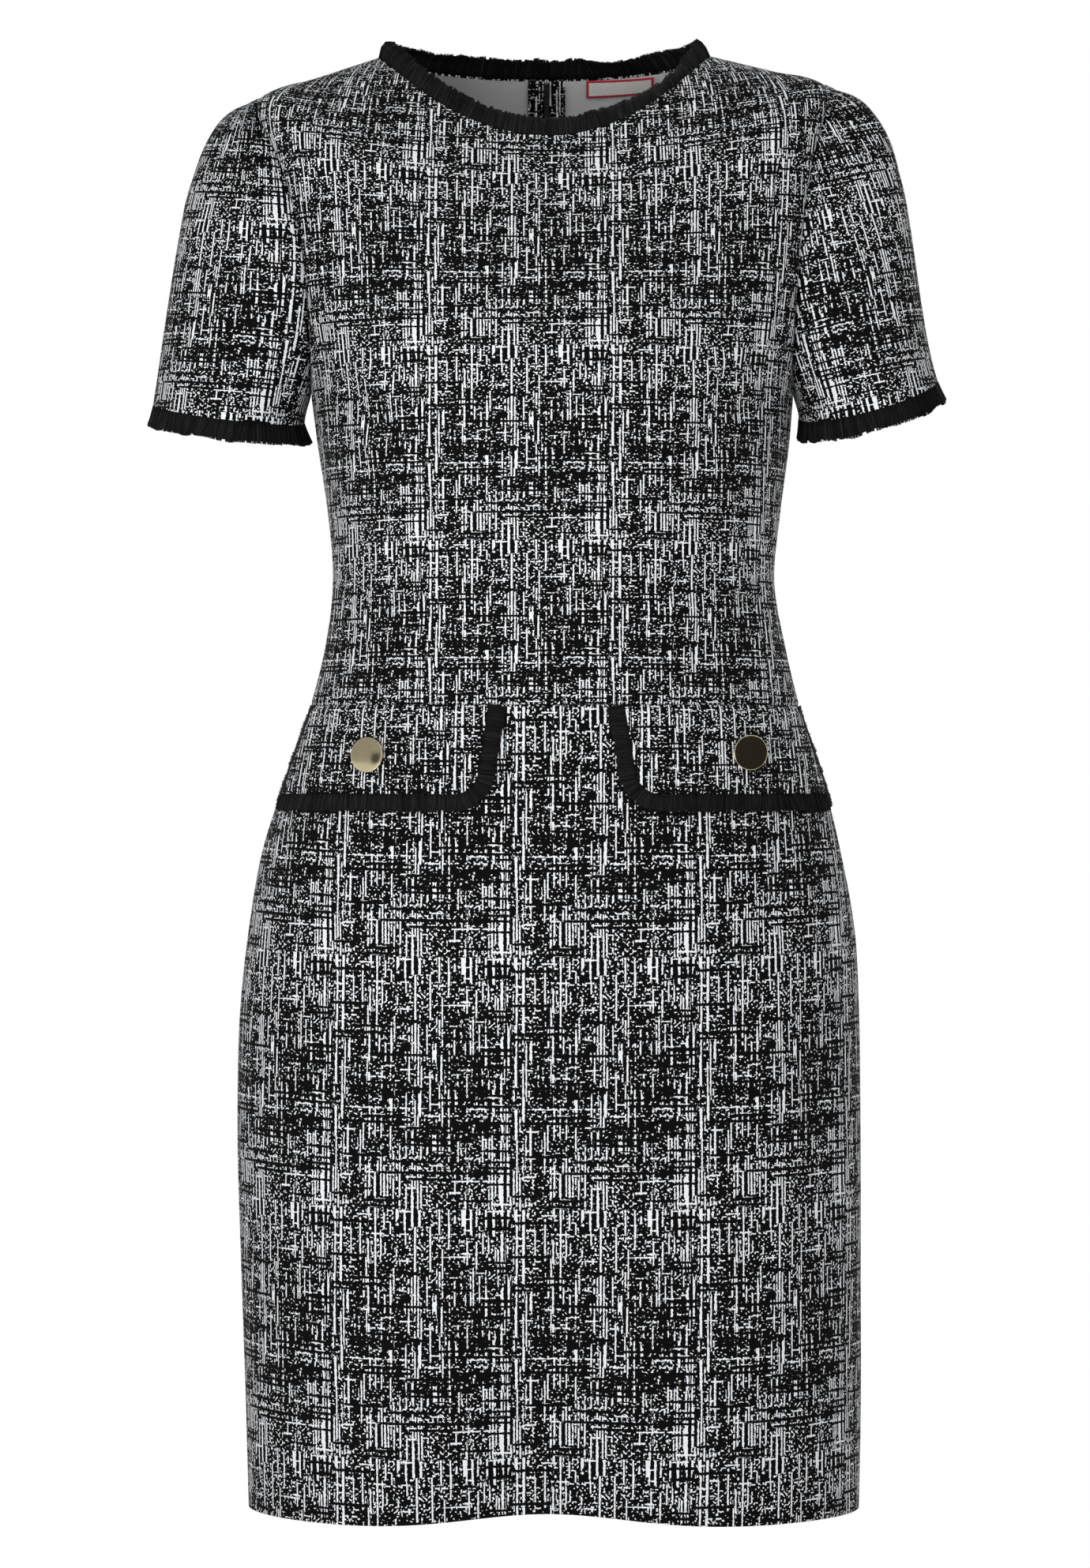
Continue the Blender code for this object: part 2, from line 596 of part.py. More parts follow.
def make_button(side):
    """A flat metal button with a rounded rim, on a short shank over its flap."""
    flap = FLAPS[side]
    level = flap.button_z
    theta = theta_at(flap.side * flap.button_x, level)
    at, out = body_at(theta, level), body_normal(theta, level)
    seat = LAY_GAP + FLAP_WALL + SEAM_GAP
    under, top = SHANK_HEIGHT, SHANK_HEIGHT + BUTTON_THICK
    profile = (
        (0, 0),
        (SHANK_FOOT, 0),
        (SHANK_RADIUS, under * 0.4),
        (SHANK_RADIUS, under),
        (BUTTON_RADIUS - 0.5, under + 0.1),
        (BUTTON_RADIUS, under + 0.8),
        (BUTTON_RADIUS - 0.2, top - 0.3),
        (BUTTON_RADIUS - 0.7, top),
        (BUTTON_RADIUS - BUTTON_RIM, top - 0.3),
        (0, top - 0.1),
    )
    shape = bmesh.new()
    line = [shape.verts.new((r * MM, 0, z * MM)) for r, z in profile]
    edges = [shape.edges.new(pair) for pair in zip(line, line[1:])]
    spun = {"axis": (0, 0, 1), "cent": (0, 0, 0), "angle": 2 * math.pi, "steps": 24}
    bmesh.ops.spin(shape, geom=line + edges, use_merge=True, **spun)
    bmesh.ops.remove_doubles(shape, verts=shape.verts, dist=1e-6)
    bmesh.ops.recalc_face_normals(shape, faces=shape.faces)
    mesh = bpy.data.meshes.new("button_" + side)
    shape.to_mesh(mesh)
    shape.free()
    made = place("button_" + side, mesh, "gold")
    facing = Vector(out) + Vector((-flap.side * flap.turn, 0, -flap.tip))
    made.rotation_euler = facing.to_track_quat("Z", "Y").to_euler()
    made.location = Vector(at + out * seat) * MM


def cloth_at(theta, level):
    """(points, normals) of a panel's outer face as its rows span it, which is straight from row to row."""
    rows = back_rows()[0]
    theta, level = np.broadcast_arrays(np.asarray(theta, float), np.asarray(level, float))
    i = np.clip(np.searchsorted(rows, level, side="right") - 1, 0, len(rows) - 2)
    share = ((level - rows[i]) / (rows[i + 1] - rows[i]))[..., None]
    points = body_at(theta, rows[i]) * (1 - share) + body_at(theta, rows[i + 1]) * share
    return points, body_normal(theta, level)


def back_theta(x, level):
    """The angle of the back at a distance x from its middle, on the side of x's sign."""
    x, level = np.broadcast_arrays(np.asarray(x, float), np.asarray(level, float))
    wide = np.where(x >= 0, section("left", level), section("right", level))
    angle = np.arccos(np.clip(np.abs(x) / wide, 0, 1) ** (section("square", level) / 2))
    return np.where(x >= 0, -angle, angle - math.pi)


def inside_back(x, level, depth):
    """Points inside the back, at x from its middle and at a depth under its outer face."""
    points, out = cloth_at(back_theta(x, level), level)
    return points - out * np.asarray(depth, float)[..., None]


def make_allowance(side):
    """The seam allowance of one half of the back, turned to the inside and pressed flat."""
    level = back_rows()[0][:, None]
    x = np.array([ALLOWANCE_FROM, ALLOWANCE_TO]) * CUFFS[side].side
    depth = np.full(len(x), WALL + ZIP_SKIN + 2 * SEAM_GAP)
    shell("allowance_" + side, inside_back(x, level, depth), inside_back(x, level, depth + TURN), "jersey")


def make_zip():
    """The closed zip inside the back: two tapes with the coil between them, one strip of a T section."""
    level, _ = back_rows()
    top = NECK - HINGE_BELOW_NECK - LEVELS_PER_MM * (SLIDER_TALL - SLIDER_ABOVE + SEAM_GAP)
    level = np.append(level[(level > ZIP_END) & (level < top - 2)], top)
    skin, ridge = WALL + SEAM_GAP, WALL + SEAM_GAP + ZIP_SKIN
    profile = (
        (-ZIP_TAPE, skin),
        (ZIP_TAPE, skin),
        (ZIP_TAPE, ridge),
        (ZIP_CHAIN, ridge),
        (ZIP_CHAIN, skin + ZIP_RIDGE),
        (-ZIP_CHAIN, skin + ZIP_RIDGE),
        (-ZIP_CHAIN, ridge),
        (-ZIP_TAPE, ridge),
    )
    count = len(profile)
    x, depth = np.array(profile).T
    points = inside_back(x, level[:, None], depth).reshape(-1, 3)
    faces = []
    for i in range(len(level) - 1):
        for j in range(count):
            k = (j + 1) % count
            faces.append([i * count + j, i * count + k, (i + 1) * count + k, (i + 1) * count + j])
    last = (len(level) - 1) * count
    faces += [list(range(count)), list(range(last, last + count))]
    add_object("zip_tapes", points, faces, "zip", smooth=False)


def hinge_frame():
    """The frame of the zip's slider, on the cloth: X across, Y up along the back and Z out of it."""
    level = NECK - HINGE_BELOW_NECK
    at, out = (Vector(part) for part in cloth_at(-math.pi / 2, level))
    out.x = 0
    out.normalize()
    across = Vector((-1, 0, 0))
    frame = Matrix((across, out.cross(across), out)).transposed().to_4x4()
    return Matrix.Translation(at * MM) @ frame


def add_box(name, low, high, finish, frame):
    """A box between two corners, in millimetres in a frame."""
    shape = bmesh.new()
    bmesh.ops.create_cube(shape, size=1)
    size, middle = Vector(high) - Vector(low), (Vector(high) + Vector(low)) / 2
    bmesh.ops.scale(shape, vec=size * MM, verts=shape.verts)
    bmesh.ops.translate(shape, vec=middle * MM, verts=shape.verts)
    mesh = bpy.data.meshes.new(name)
    shape.to_mesh(mesh)
    shape.free()
    made = place(name, mesh, finish, smooth=False)
    made.matrix_world = frame
    return made


def add_rod(name, radius, half, finish, frame, sides=16):
    """A rod along the frame's X axis, through its origin."""
    shape = bmesh.new()
    size = {"radius1": radius * MM, "radius2": radius * MM, "depth": 2 * half * MM}
    bmesh.ops.create_cone(shape, cap_ends=True, segments=sides, **size)
    bmesh.ops.rotate(shape, verts=shape.verts, cent=(0, 0, 0), matrix=Matrix.Rotation(math.pi / 2, 3, "Y"))
    mesh = bpy.data.meshes.new(name)
    shape.to_mesh(mesh)
    shape.free()
    made = place(name, mesh, finish)
    made.matrix_world = frame
    return made


def combine(base, tool, operation):
    """Joins a tool to a base, or cuts it away, and keeps the tool as a hidden guide."""
    step = base.modifiers.new(tool.name, "BOOLEAN")
    step.operation = operation
    step.solver = "EXACT"
    step.object = tool
    tool.hide_render = True
    tool.display_type = "WIRE"


def make_slider():
    """The slider: a body inside the back, a web through the opening and an outer plate with a hinge bar."""
    frame = hinge_frame()
    half = SLIDER_WIDE / 2
    inside = -(WALL + SEAM_GAP + SINK)
    top = SLIDER_ABOVE
    low, high = (-half, top - SLIDER_TALL, inside - SLIDER_DEEP), (half, top, inside)
    body = add_box("zip_slider", low, high, "zip", frame)
    low, high = (-WEB_HALF, -2 * WEB_HALF, inside - SINK), (WEB_HALF, top, SEAM_GAP + SINK)
    combine(body, add_box("slider_web", low, high, "zip", frame), "UNION")
    low, high = (-PLATE_HALF, PLATE_FOOT, SEAM_GAP), (PLATE_HALF, top, SEAM_GAP + PLATE)
    combine(body, add_box("slider_plate", low, high, "zip", frame), "UNION")
    for hand in ("left", "right"):
        far, near = CUFFS[hand].side * PLATE_HALF, CUFFS[hand].side * (PLATE_HALF - EAR)
        low = (min(far, near), -EAR_HALF, SEAM_GAP + PLATE - SINK)
        high = (max(far, near), EAR_HALF, BAR_OUT + EAR)
        combine(body, add_box("slider_ear_" + hand, low, high, "zip", frame), "UNION")
    bar_frame = frame @ Matrix.Translation((0, 0, BAR_OUT * MM))
    combine(body, add_rod("slider_bar", BAR_RADIUS, PLATE_HALF - EAR / 2, "zip", bar_frame), "UNION")


def make_pull_tab():
    """The pull tab: a drop-shaped plate whose eye turns on the slider's bar."""
    frame = hinge_frame() @ Matrix.Translation((0, 0, BAR_OUT * MM))
    eye_half = PLATE_HALF - EAR - SEAM_GAP
    shape = bmesh.new()
    foot = TAB_WIDE / 2
    outline = [(eye_half, -SINK), (eye_half, -TAB_NECK)]
    for angle in np.radians(np.linspace(7, 173, 10)):
        outline.append((foot * math.cos(angle), -(TAB_LONG - foot) - foot * math.sin(angle)))
    outline += [(-eye_half, -TAB_NECK), (-eye_half, -SINK)]
    ring = [shape.verts.new((x * MM, y * MM, -TAB_THICK / 2 * MM)) for x, y in outline]
    face = shape.faces.new(ring)
    lifted = bmesh.ops.extrude_face_region(shape, geom=[face])["geom"]
    moved = [v for v in lifted if isinstance(v, bmesh.types.BMVert)]
    bmesh.ops.translate(shape, vec=(0, 0, TAB_THICK * MM), verts=moved)
    bmesh.ops.recalc_face_normals(shape, faces=shape.faces)
    mesh = bpy.data.meshes.new("pull_tab")
    shape.to_mesh(mesh)
    shape.free()
    tab = place("pull_tab", mesh, "zip")
    tab.matrix_world = frame
    combine(tab, add_rod("tab_eye", EYE_RADIUS, eye_half, "zip", frame), "UNION")
    hole = add_rod("tab_hole", BAR_RADIUS + SEAM_GAP, eye_half + SINK, "zip", frame)
    combine(tab, hole, "DIFFERENCE")


def make_label():
    """The plain woven label sewn inside the back of the neck, on the wearer's left."""
    x = np.linspace(LABEL_LOW_X, LABEL_HIGH_X, 9)
    level = (NECK - 1.0 - np.array([0.0, 0.5, 1.0]) * LABEL_TALL)[:, None]
    depth = np.full(len(x), WALL + 2 * LAY_GAP)
    shell("neck_label", inside_back(x, level, depth), inside_back(x, level, depth + LABEL_THICK), "label")


def main():
    """Clears the scene and builds every piece."""
    for old in list(bpy.data.objects):
        bpy.data.objects.remove(old)
    make_finishes()
    make_bodice_front()
    make_skirt_front()
    for side in CUFFS:
        make_bodice_back(side)
        make_skirt_back(side)
        make_sleeve(side)
        make_allowance(side)
        make_cuff_fringe(side)
        make_flap(side)
        make_flap_fringe(side)
        make_button(side)
    make_neck_fringe()
    make_zip()
    make_slider()
    make_pull_tab()
    make_label()


main()
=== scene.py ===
"""A short-sleeved shift dress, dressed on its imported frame.

The dress is filled out as it is when worn, with nothing inside it. Its jersey carries a fine tweed-like print,
its neck, cuffs and mock pocket flaps are edged with black yarn fringe, two flat gold buttons sit on the flaps,
and a concealed zip closes the back.

Frame: metres, +Z up. The front of the dress faces -Y and the wearer's left is +X. Sizes are in millimetres.
"""

import logging
import math
from dataclasses import dataclass, replace
from enum import Enum
from typing import Callable, Sequence, Union

import bmesh
import bpy
import numpy as np
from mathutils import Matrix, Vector


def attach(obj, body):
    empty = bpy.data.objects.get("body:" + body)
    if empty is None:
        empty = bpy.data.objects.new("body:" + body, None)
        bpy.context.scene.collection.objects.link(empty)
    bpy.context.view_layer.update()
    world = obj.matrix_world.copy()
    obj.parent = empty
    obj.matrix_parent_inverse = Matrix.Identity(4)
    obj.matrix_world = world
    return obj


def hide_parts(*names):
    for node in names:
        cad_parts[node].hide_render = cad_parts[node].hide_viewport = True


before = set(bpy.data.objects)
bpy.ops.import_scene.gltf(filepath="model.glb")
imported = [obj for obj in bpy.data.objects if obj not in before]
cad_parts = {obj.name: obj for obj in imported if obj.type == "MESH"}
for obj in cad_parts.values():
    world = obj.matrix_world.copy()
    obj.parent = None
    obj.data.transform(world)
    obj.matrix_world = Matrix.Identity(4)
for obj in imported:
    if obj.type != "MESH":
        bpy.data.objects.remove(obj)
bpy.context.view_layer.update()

LOG = logging.getLogger("dress")

Array = np.ndarray
Number = Union[float, "Value"]
Index = Union[int, slice, tuple]
Lay = Callable[[Array, Array, Array, Array, Array], Array]  # (root, out, way, along, offset) to points

MM = 0.001
CLOTH = 1.2  # thickness of the jersey
SEAM_GAP = 0.3
SEAM_SINK = 0.8  # how far cloth sinks at a seam
LAY_GAP = 0.35  # between a panel and what lies on it
WALE = 0.9  # the width of a column of stitches
HEM = -950.0
WAIST_SEAM = -421.0
UNDERARM = -216.0
SHOULDER_TIP = -20.0
CUFF_AT = 0.977  # of the sleeve's loft
NECK = 63.0
BACK_PHASE = (47.0, 35.0)  # how far the back's print is shifted against the front's


class Face(Enum):
    """The two faces of the dress."""

    FRONT = 1
    BACK = -1


class Side(Enum):
    """The wearer's two sides."""

    RIGHT = -1
    LEFT = 1

    @property
    def word(self) -> str:
        """The side's name as the frame's nodes spell it."""
        return self.name.lower()


class Edge(Enum):
    """Where a panel's column ends."""

    LEFT = 1
    RIGHT = -1
    MIDDLE = 0


# ---------------------------------------------------------------------------------------------------------
# Shader helpers


class Value:
    """A number on a socket. Arithmetic on it adds Math nodes."""

    def __init__(self, maker: "Maker", socket: bpy.types.NodeSocket) -> None:
        """Wraps one output socket of a maker's node."""
        self.maker = maker
        self.socket = socket

    def __add__(self, other: Number) -> "Value":
        """Sum."""
        return self.maker.math("ADD", self, other)

    def __sub__(self, other: Number) -> "Value":
        """Difference."""
        return self.maker.math("SUBTRACT", self, other)

    def __rsub__(self, other: Number) -> "Value":
        """Difference from a number."""
        return self.maker.math("SUBTRACT", other, self)

    def __mul__(self, other: Number) -> "Value":
        """Product."""
        return self.maker.math("MULTIPLY", self, other)

    def __truediv__(self, other: Number) -> "Value":
        """Quotient."""
        return self.maker.math("DIVIDE", self, other)

    def __mod__(self, other: Number) -> "Value":
        """Remainder, never negative."""
        return self.maker.math("FLOORED_MODULO", self, other)

    def __gt__(self, other: Number) -> "Value":
        """1 where this is the larger, else 0."""
        return self.maker.math("GREATER_THAN", self, other)

    def __lt__(self, other: Number) -> "Value":
        """1 where this is the smaller, else 0."""
        return self.maker.math("LESS_THAN", self, other)

    def __abs__(self) -> "Value":
        """Absolute value."""
        return self.maker.math("ABSOLUTE", self)

    __radd__ = __add__
    __rmul__ = __mul__

    def floor(self) -> "Value":
        """Largest whole number below."""
        return self.maker.math("FLOOR", self)

    def sine(self) -> "Value":
        """Sine of an angle in radians."""
        return self.maker.math("SINE", self)

    def cosine(self) -> "Value":
        """Cosine of an angle in radians."""
        return self.maker.math("COSINE", self)

    def larger(self, other: Number) -> "Value":
        """The larger of two numbers."""
        return self.maker.math("MAXIMUM", self, other)

    def smaller(self, other: Number) -> "Value":
        """The smaller of two numbers."""
        return self.maker.math("MINIMUM", self, other)

    def clamp(self) -> "Value":
        """The number kept between 0 and 1."""
        return self.larger(0.0).smaller(1.0)


class Maker:
    """Builds one material's nodes."""

    def __init__(self, name: str) -> None:
        """Starts an empty material."""
        self.material = bpy.data.materials.new(name)
        self.material.use_nodes = True
        self.tree = self.material.node_tree
        self.tree.nodes.clear()

    def node(self, kind: str, settings: dict | None = None, inputs: dict | None = None) -> bpy.types.Node:
        """Adds a node.

        Args:
            kind: The node's type.
            settings: Its own properties, set first.
            inputs: Values, links or numbers for its sockets, by name or index.

        Returns:
            The node.
        """
        made = self.tree.nodes.new(kind)
        for key, value in (settings or {}).items():
            setattr(made, key, value)
        for key, value in (inputs or {}).items():
            socket = made.inputs[key]
            if isinstance(value, Value):
                self.tree.links.new(value.socket, socket)
            elif isinstance(value, bpy.types.NodeSocket):
                self.tree.links.new(value, socket)
            else:
                socket.default_value = value
        return made

    def math(self, operation: str, *values: Number) -> Value:
        """Adds a Math node and returns its result."""
        made = self.node("ShaderNodeMath", {"operation": operation}, dict(enumerate(values)))
        return Value(self, made.outputs[0])

    def vector(self, x: Number, y: Number, z: Number = 0.0) -> bpy.types.NodeSocket:
        """A vector of three numbers."""
        return self.node("ShaderNodeCombineXYZ", None, {0: x, 1: y, 2: z}).outputs[0]

    def cloth(self) -> tuple[Value, Value]:
        """Millimetres across and along the cloth, from the piece's own map."""
        made = self.node("ShaderNodeUVMap", {"uv_map": "Cloth"})
        split = self.node("ShaderNodeSeparateXYZ", None, {0: made.outputs[0]})
        return Value(self, split.outputs[0]) * 1000.0, Value(self, split.outputs[1]) * 1000.0

    def place(self) -> tuple[Value, Value, Value]:
        """Millimetres in the dress's own frame."""
        made = self.node("ShaderNodeTexCoord")
        split = self.node("ShaderNodeSeparateXYZ", None, {0: made.outputs["Object"]})
        x, y, z = (Value(self, split.outputs[i]) * 1000.0 for i in range(3))
        return x, y, z

    def noise(self, x: Number, y: Number, detail: float = 0.0) -> Value:
        """Smooth noise of two coordinates, about -1 to 1."""
        return self.noises(x, y, detail)[0]

    def noises(self, x: Number, y: Number, detail: float = 0.0) -> tuple[Value, Value]:
        """Two smooth noises of the same coordinates, each about -1 to 1."""
        settings = {"noise_dimensions": "2D", "normalize": True}
        inputs = {"Vector": self.vector(x, y), "Scale": 1.0, "Detail": detail}
        made = self.node("ShaderNodeTexNoise", settings, inputs)
        split = self.node("ShaderNodeSeparateColor", None, {0: made.outputs[1]})
        first, second = Value(self, made.outputs[0]), Value(self, split.outputs[1])
        return first * 4.0 - 2.0, second * 4.0 - 2.0

    def chance(self, x: Number, y: Number, seed: float) -> Value:
        """A random number from 0 to 1 for each cell of whole coordinates."""
        made = self.node("ShaderNodeTexWhiteNoise", {"noise_dimensions": "3D"}, {"Vector": self.vector(x, y, seed)})
        return Value(self, made.outputs[0])

    def mix(self, share: Number, first: Sequence[float] | bpy.types.NodeSocket,
            second: Sequence[float] | bpy.types.NodeSocket) -> bpy.types.NodeSocket:
        """A colour between two, by a share from 0 to 1."""
        made = self.node("ShaderNodeMix", {"data_type": "RGBA"}, {"Factor": share})
        for name, value in (("A", first), ("B", second)):
            socket = next(s for s in made.inputs if s.name == name and s.type == "RGBA")
            if isinstance(value, bpy.types.NodeSocket):
                self.tree.links.new(value, socket)
            else:
                socket.default_value = (*value, 1.0)
        return next(s for s in made.outputs if s.type == "RGBA")

    def bump(self, height: Value, distance: float, strength: float = 1.0) -> bpy.types.NodeSocket:
        """A normal from a height of 0 to 1, whose full rise is a distance in millimetres."""
        inputs = {"Height": height, "Distance": distance * MM, "Strength": strength}
        return self.node("ShaderNodeBump", None, inputs).outputs[0]

    def surface(self, **inputs: object) -> bpy.types.Material:
        """Closes the material with a Principled shader whose sockets are given by name."""
        named = {key.replace("_", " "): value for key, value in inputs.items()}
        shader = self.node("ShaderNodeBsdfPrincipled", None, named)
        self.node("ShaderNodeOutputMaterial", None, {0: shader.outputs[0]})
        return self.material


# ---------------------------------------------------------------------------------------------------------
# Finishes


@dataclass(frozen=True)
class PrintedJersey:
    """Black jersey with a fine off-white print of broken warp and weft threads, in a strict repeat."""

    wide: float = 119.0  # the repeat, in millimetres
    tall: float = 126.0
    warps: int = 60  # fine threads across the repeat, and along it
    wefts: int = 66
    bars: int = 25  # thick warps across the repeat
    floats: int = 45  # black wefts along the repeat
    warp_run: float = 24.0  # how slowly a thread goes from white to black along itself
    weft_run: float = 20.0
    bar_run: float = 22.0
    float_run: float = 45.0
    half_warp: float = 0.25  # half a mark's width, of its thread's pitch
    half_weft: float = 0.20
    half_bar: float = 0.13
    half_float: float = 0.24
    bar_more: float = 0.22  # what the widest bar has beyond half_bar
    fleck_wide: float = 1.6
    fleck_tall: float = 1.15
    warp_level: float = 0.35  # a mark shows where its noise is above its level
    weft_level: float = 1.05
    bar_level: float = 0.66
    fleck_level: float = 0.72
    float_level: float = 0.45
    rag: float = 0.17  # how far a mark's edge wavers
    sway: float = 0.20  # how far a thread wanders
    column: float = 0.21  # the light columns and rows that come once or twice a repeat
    row: float = 0.11
    striped: float = 0.38  # the uneven columns and rows between them
    barred: float = 0.22
    patchy: float = 0.08
    broken: float = 0.35  # how often a stretch breaks off
    patches_wide: int = 10  # cells that may hold a black patch, across the repeat and along it
    patches_tall: int = 16
    patch_share: float = 0.05
    black: tuple[float, float, float] = (0.0030, 0.0028, 0.0030)
    white: tuple[float, float, float] = (0.76, 0.785, 0.815)

    def mask(self, maker: Maker, x: Value, y: Value) -> Value:
        """1 where the print is white and 0 where it is black.

        The repeat is a lattice of fine threads. Where a warp is on top from one crossing to the next, its
        stretch is white, and the same for a weft; where no warp is on top, the cloth has small white flecks.
        Slow noises along each thread say where it is on top. Thick white bars, black floats and small black
        patches lie over them, and a large light and dark rhythm runs through all.

        Args:
            maker: The material's builder.
            x: Millimetres across the cloth.
            y: Millimetres along the cloth.

        Returns:
            The mask.
        """
        u, v = x % self.wide, y % self.tall
        rag_u, rag_v = maker.noises(u, v)
        sway_u, sway_v = maker.noise(u / 3.3, v / 60.0 + 4.2), maker.noise(u / 60.0 + 8.4, v / 3.3)
        ur, vr = u + rag_u * self.rag + sway_u * self.sway, v + rag_v * self.rag + sway_v * self.sway
        pitch_u, pitch_v = self.wide / self.warps, self.tall / self.wefts
        cell_u, cell_v = ur / pitch_u, vr / pitch_v
        warp, weft = cell_u.floor(), cell_v.floor()
        off_u, off_v = abs(cell_u - warp - 0.5), abs(cell_v - weft - 0.5)
        joint_u, joint_v = (cell_u + 0.5).floor(), (cell_v + 0.5).floor()
        turn_u, turn_v = x * (2 * math.pi / self.wide), y * (2 * math.pi / self.tall)
        light_u = (turn_u.cosine() + (turn_u * 2.0).cosine() * 0.6) * self.column
        light_v = turn_v.cosine() * self.row
        patches = maker.noise(u / 13.0 + 5.4, v / 11.0) * self.patchy
        columns = (maker.noise(u / 3.4, 3.7) + maker.noise(u / 11.0, 8.2) * 0.5) * self.striped + light_u
        rows = (maker.noise(6.1, v / 2.2) + maker.noise(1.3, v / 9.0) * 0.4) * self.barred + light_v
        tone = columns + rows * 0.6 + patches
        down = (maker.noise(warp * 7.37, joint_v * (pitch_v / self.warp_run))
                + maker.noise(warp * 7.37 + 3.3, joint_v * 0.9) * self.broken)
        over = (maker.noise(joint_u * (pitch_u / self.weft_run), weft * 7.37 + 1.9)
                + maker.noise(joint_u * 0.9, weft * 7.37 + 8.6) * self.broken)
        warp_on = down + tone > self.warp_level
        weft_ink = (off_v < self.half_weft) * (over + rows > self.weft_level)
        bar_u = ur / (self.wide / self.bars)
        bar = bar_u.floor()
        bar_on = maker.noise(bar * 5.53 + 31.7, joint_v * (pitch_v / self.bar_run)) + tone > self.bar_level
        wide = maker.chance(bar, 0.5, 21.5)
        bar_ink = abs(bar_u - bar - 0.5) < wide * wide * self.bar_more + self.half_bar
        fleck = maker.noise(u / self.fleck_wide + 2.2, v / self.fleck_tall + 7.7) + rows + columns * 0.3 + patches
        fine = warp_on * (off_u < self.half_warp) + (1.0 - warp_on) * (fleck > self.fleck_level)
        ink = (bar_on * bar_ink + (1.0 - bar_on) * fine).larger(weft_ink)
        float_v = vr / (self.tall / self.floats)
        floated = float_v.floor()
        float_on = maker.noise(u / self.float_run, floated * 5.53 + 47.3) - rows * 0.5 > self.float_level
        cover = float_on * (abs(float_v - floated - 0.5) < self.half_float)
        patch_u, patch_v = u / (self.wide / self.patches_wide), v / (self.tall / self.patches_tall)
        share_u, share_v = patch_u % 1.0, patch_v % 1.0
        patch_u, patch_v = patch_u.floor(), patch_v.floor()
        width = maker.chance(patch_u, patch_v, 32.5) * 0.6 + 0.2
        height = maker.chance(patch_u, patch_v, 33.5) * 0.5 + 0.25
        rough = (rag_u + rag_v) * 0.05
        patch = (maker.chance(patch_u, patch_v, 31.5) < self.patch_share) * (share_u + rough < width)
        patch = patch * (share_v + rough < height)
        return ink * (1.0 - cover.larger(patch))

    def make(self) -> bpy.types.Material:
        """The printed face."""
        maker = Maker("printed jersey")
        x, y = maker.cloth()
        white = self.mask(maker, x, y)
        wear = maker.noise(x / 3.0, y / 3.0, 3.0) * 0.5 + 0.5
        worn = tuple(part * 0.90 for part in self.white)
        tint = maker.mix(white, self.black, maker.mix(wear.clamp(), self.white, worn))
        knit = knit_height(x, y, WALE)
        return maker.surface(
            Base_Color=tint,
            Roughness=white * 0.06 + 0.80,
            Normal=maker.bump(knit, 0.10, 0.5),
            Specular_IOR_Level=0.05,
        )


def knit_height(x: Value, y: Value, wale: float) -> Value:
    """The height of a plain knit: columns of a wale's width with slanted stitches, from 0 to 1."""
    column = (x * (2 * math.pi / wale)).cosine()
    slant = abs((x / wale) % 1.0 - 0.5) * 2.0
    stitch = ((y / (wale * 0.8) + slant) * (2 * math.pi)).sine()
    return column * 0.25 + stitch * 0.25 + 0.5


@dataclass(frozen=True)
class JerseyReverse:
    """The unprinted reverse of the jersey: a plain light grey knit, with painted light towards the wearer's left and
    painted shade towards the right.
    """

    # The lit and the shaded ends of the painted light and shade across the inside; the knit's own flecks vary between
    # them.
    light: tuple[float, float, float] = (0.94, 0.94, 0.95)
    deep: tuple[float, float, float] = (0.30, 0.30, 0.31)

    def make(self) -> bpy.types.Material:
        """The reverse."""
        maker = Maker("jersey reverse")
        x, y = maker.cloth()
        across, _, _ = maker.place()
        fleck = maker.noise(x / 0.9, y / 2.4, 2.0) * 0.25 + 0.5
        knit = knit_height(x, y, WALE)
        # Painted light and shade: most of the grey's tone comes from where it lies across the dress, dark at the
        # wearer's right and pale at the left, standing in for the shadow inside the neck.
        tone = fleck * 0.18 + knit * 0.12 + ((across + 60.0) / 120.0).clamp() * 0.7
        return maker.surface(
            Base_Color=maker.mix(tone.clamp(), self.deep, self.light),
            Roughness=fleck * 0.05 + 0.85,
            Normal=maker.bump(knit, 0.12, 0.6),
            Specular_IOR_Level=0.2,
            Sheen_Weight=0.08,
            Sheen_Roughness=0.5,
        )


@dataclass(frozen=True)
class FringeYarn:
    """Soft near-black yarn, a little lighter from strand to strand, with a fine slanted twist."""

    deep: tuple[float, float, float] = (0.0030, 0.0028, 0.0029)
    light: tuple[float, float, float] = (0.030, 0.028, 0.028)

    def make(self) -> bpy.types.Material:
        """The yarn. Its map runs from 0 to 1000 along a strand, and each strand has its own number across."""
        maker = Maker("fringe yarn")
        across, along = maker.cloth()
        strand = (across / 10.0).floor()
        own = maker.chance(strand, 0.5, 3.5)
        twist = (along * 0.060 + across * 0.6).sine() * 0.5 + 0.5
        tone = own * own * own * 0.75 + twist * own * 0.25
        return maker.surface(
            Base_Color=maker.mix(tone.clamp(), self.deep, self.light),
            Roughness=own * 0.12 + 0.70,
            Normal=maker.bump(twist, 0.12, 0.5),
            Specular_IOR_Level=0.12,
        )


@dataclass(frozen=True)
class PolishedGold:
    """Light gold metal, polished, with faint marks of handling."""

    colour: tuple[float, float, float] = (0.57, 0.49, 0.32)
    dull: tuple[float, float, float] = (0.46, 0.40, 0.25)

    def make(self) -> bpy.types.Material:
        """The metal."""
        maker = Maker("polished gold")
        x, _, z = maker.place()
        haze = maker.noise(x / 6.0, z / 6.0, 2.0) * 0.25 + 0.5
        scratch = maker.noise(x / 4.0 + z / 0.25, z / 5.0 - x / 9.0) * 0.25 + 0.5
        return maker.surface(
            Base_Color=maker.mix((haze * 0.5).clamp(), self.colour, self.dull),
            Roughness=(haze * 0.06 + scratch * 0.03 + 0.04).clamp(),
            Metallic=1.0,
            Normal=maker.bump(haze, 0.05, 0.12),
        )


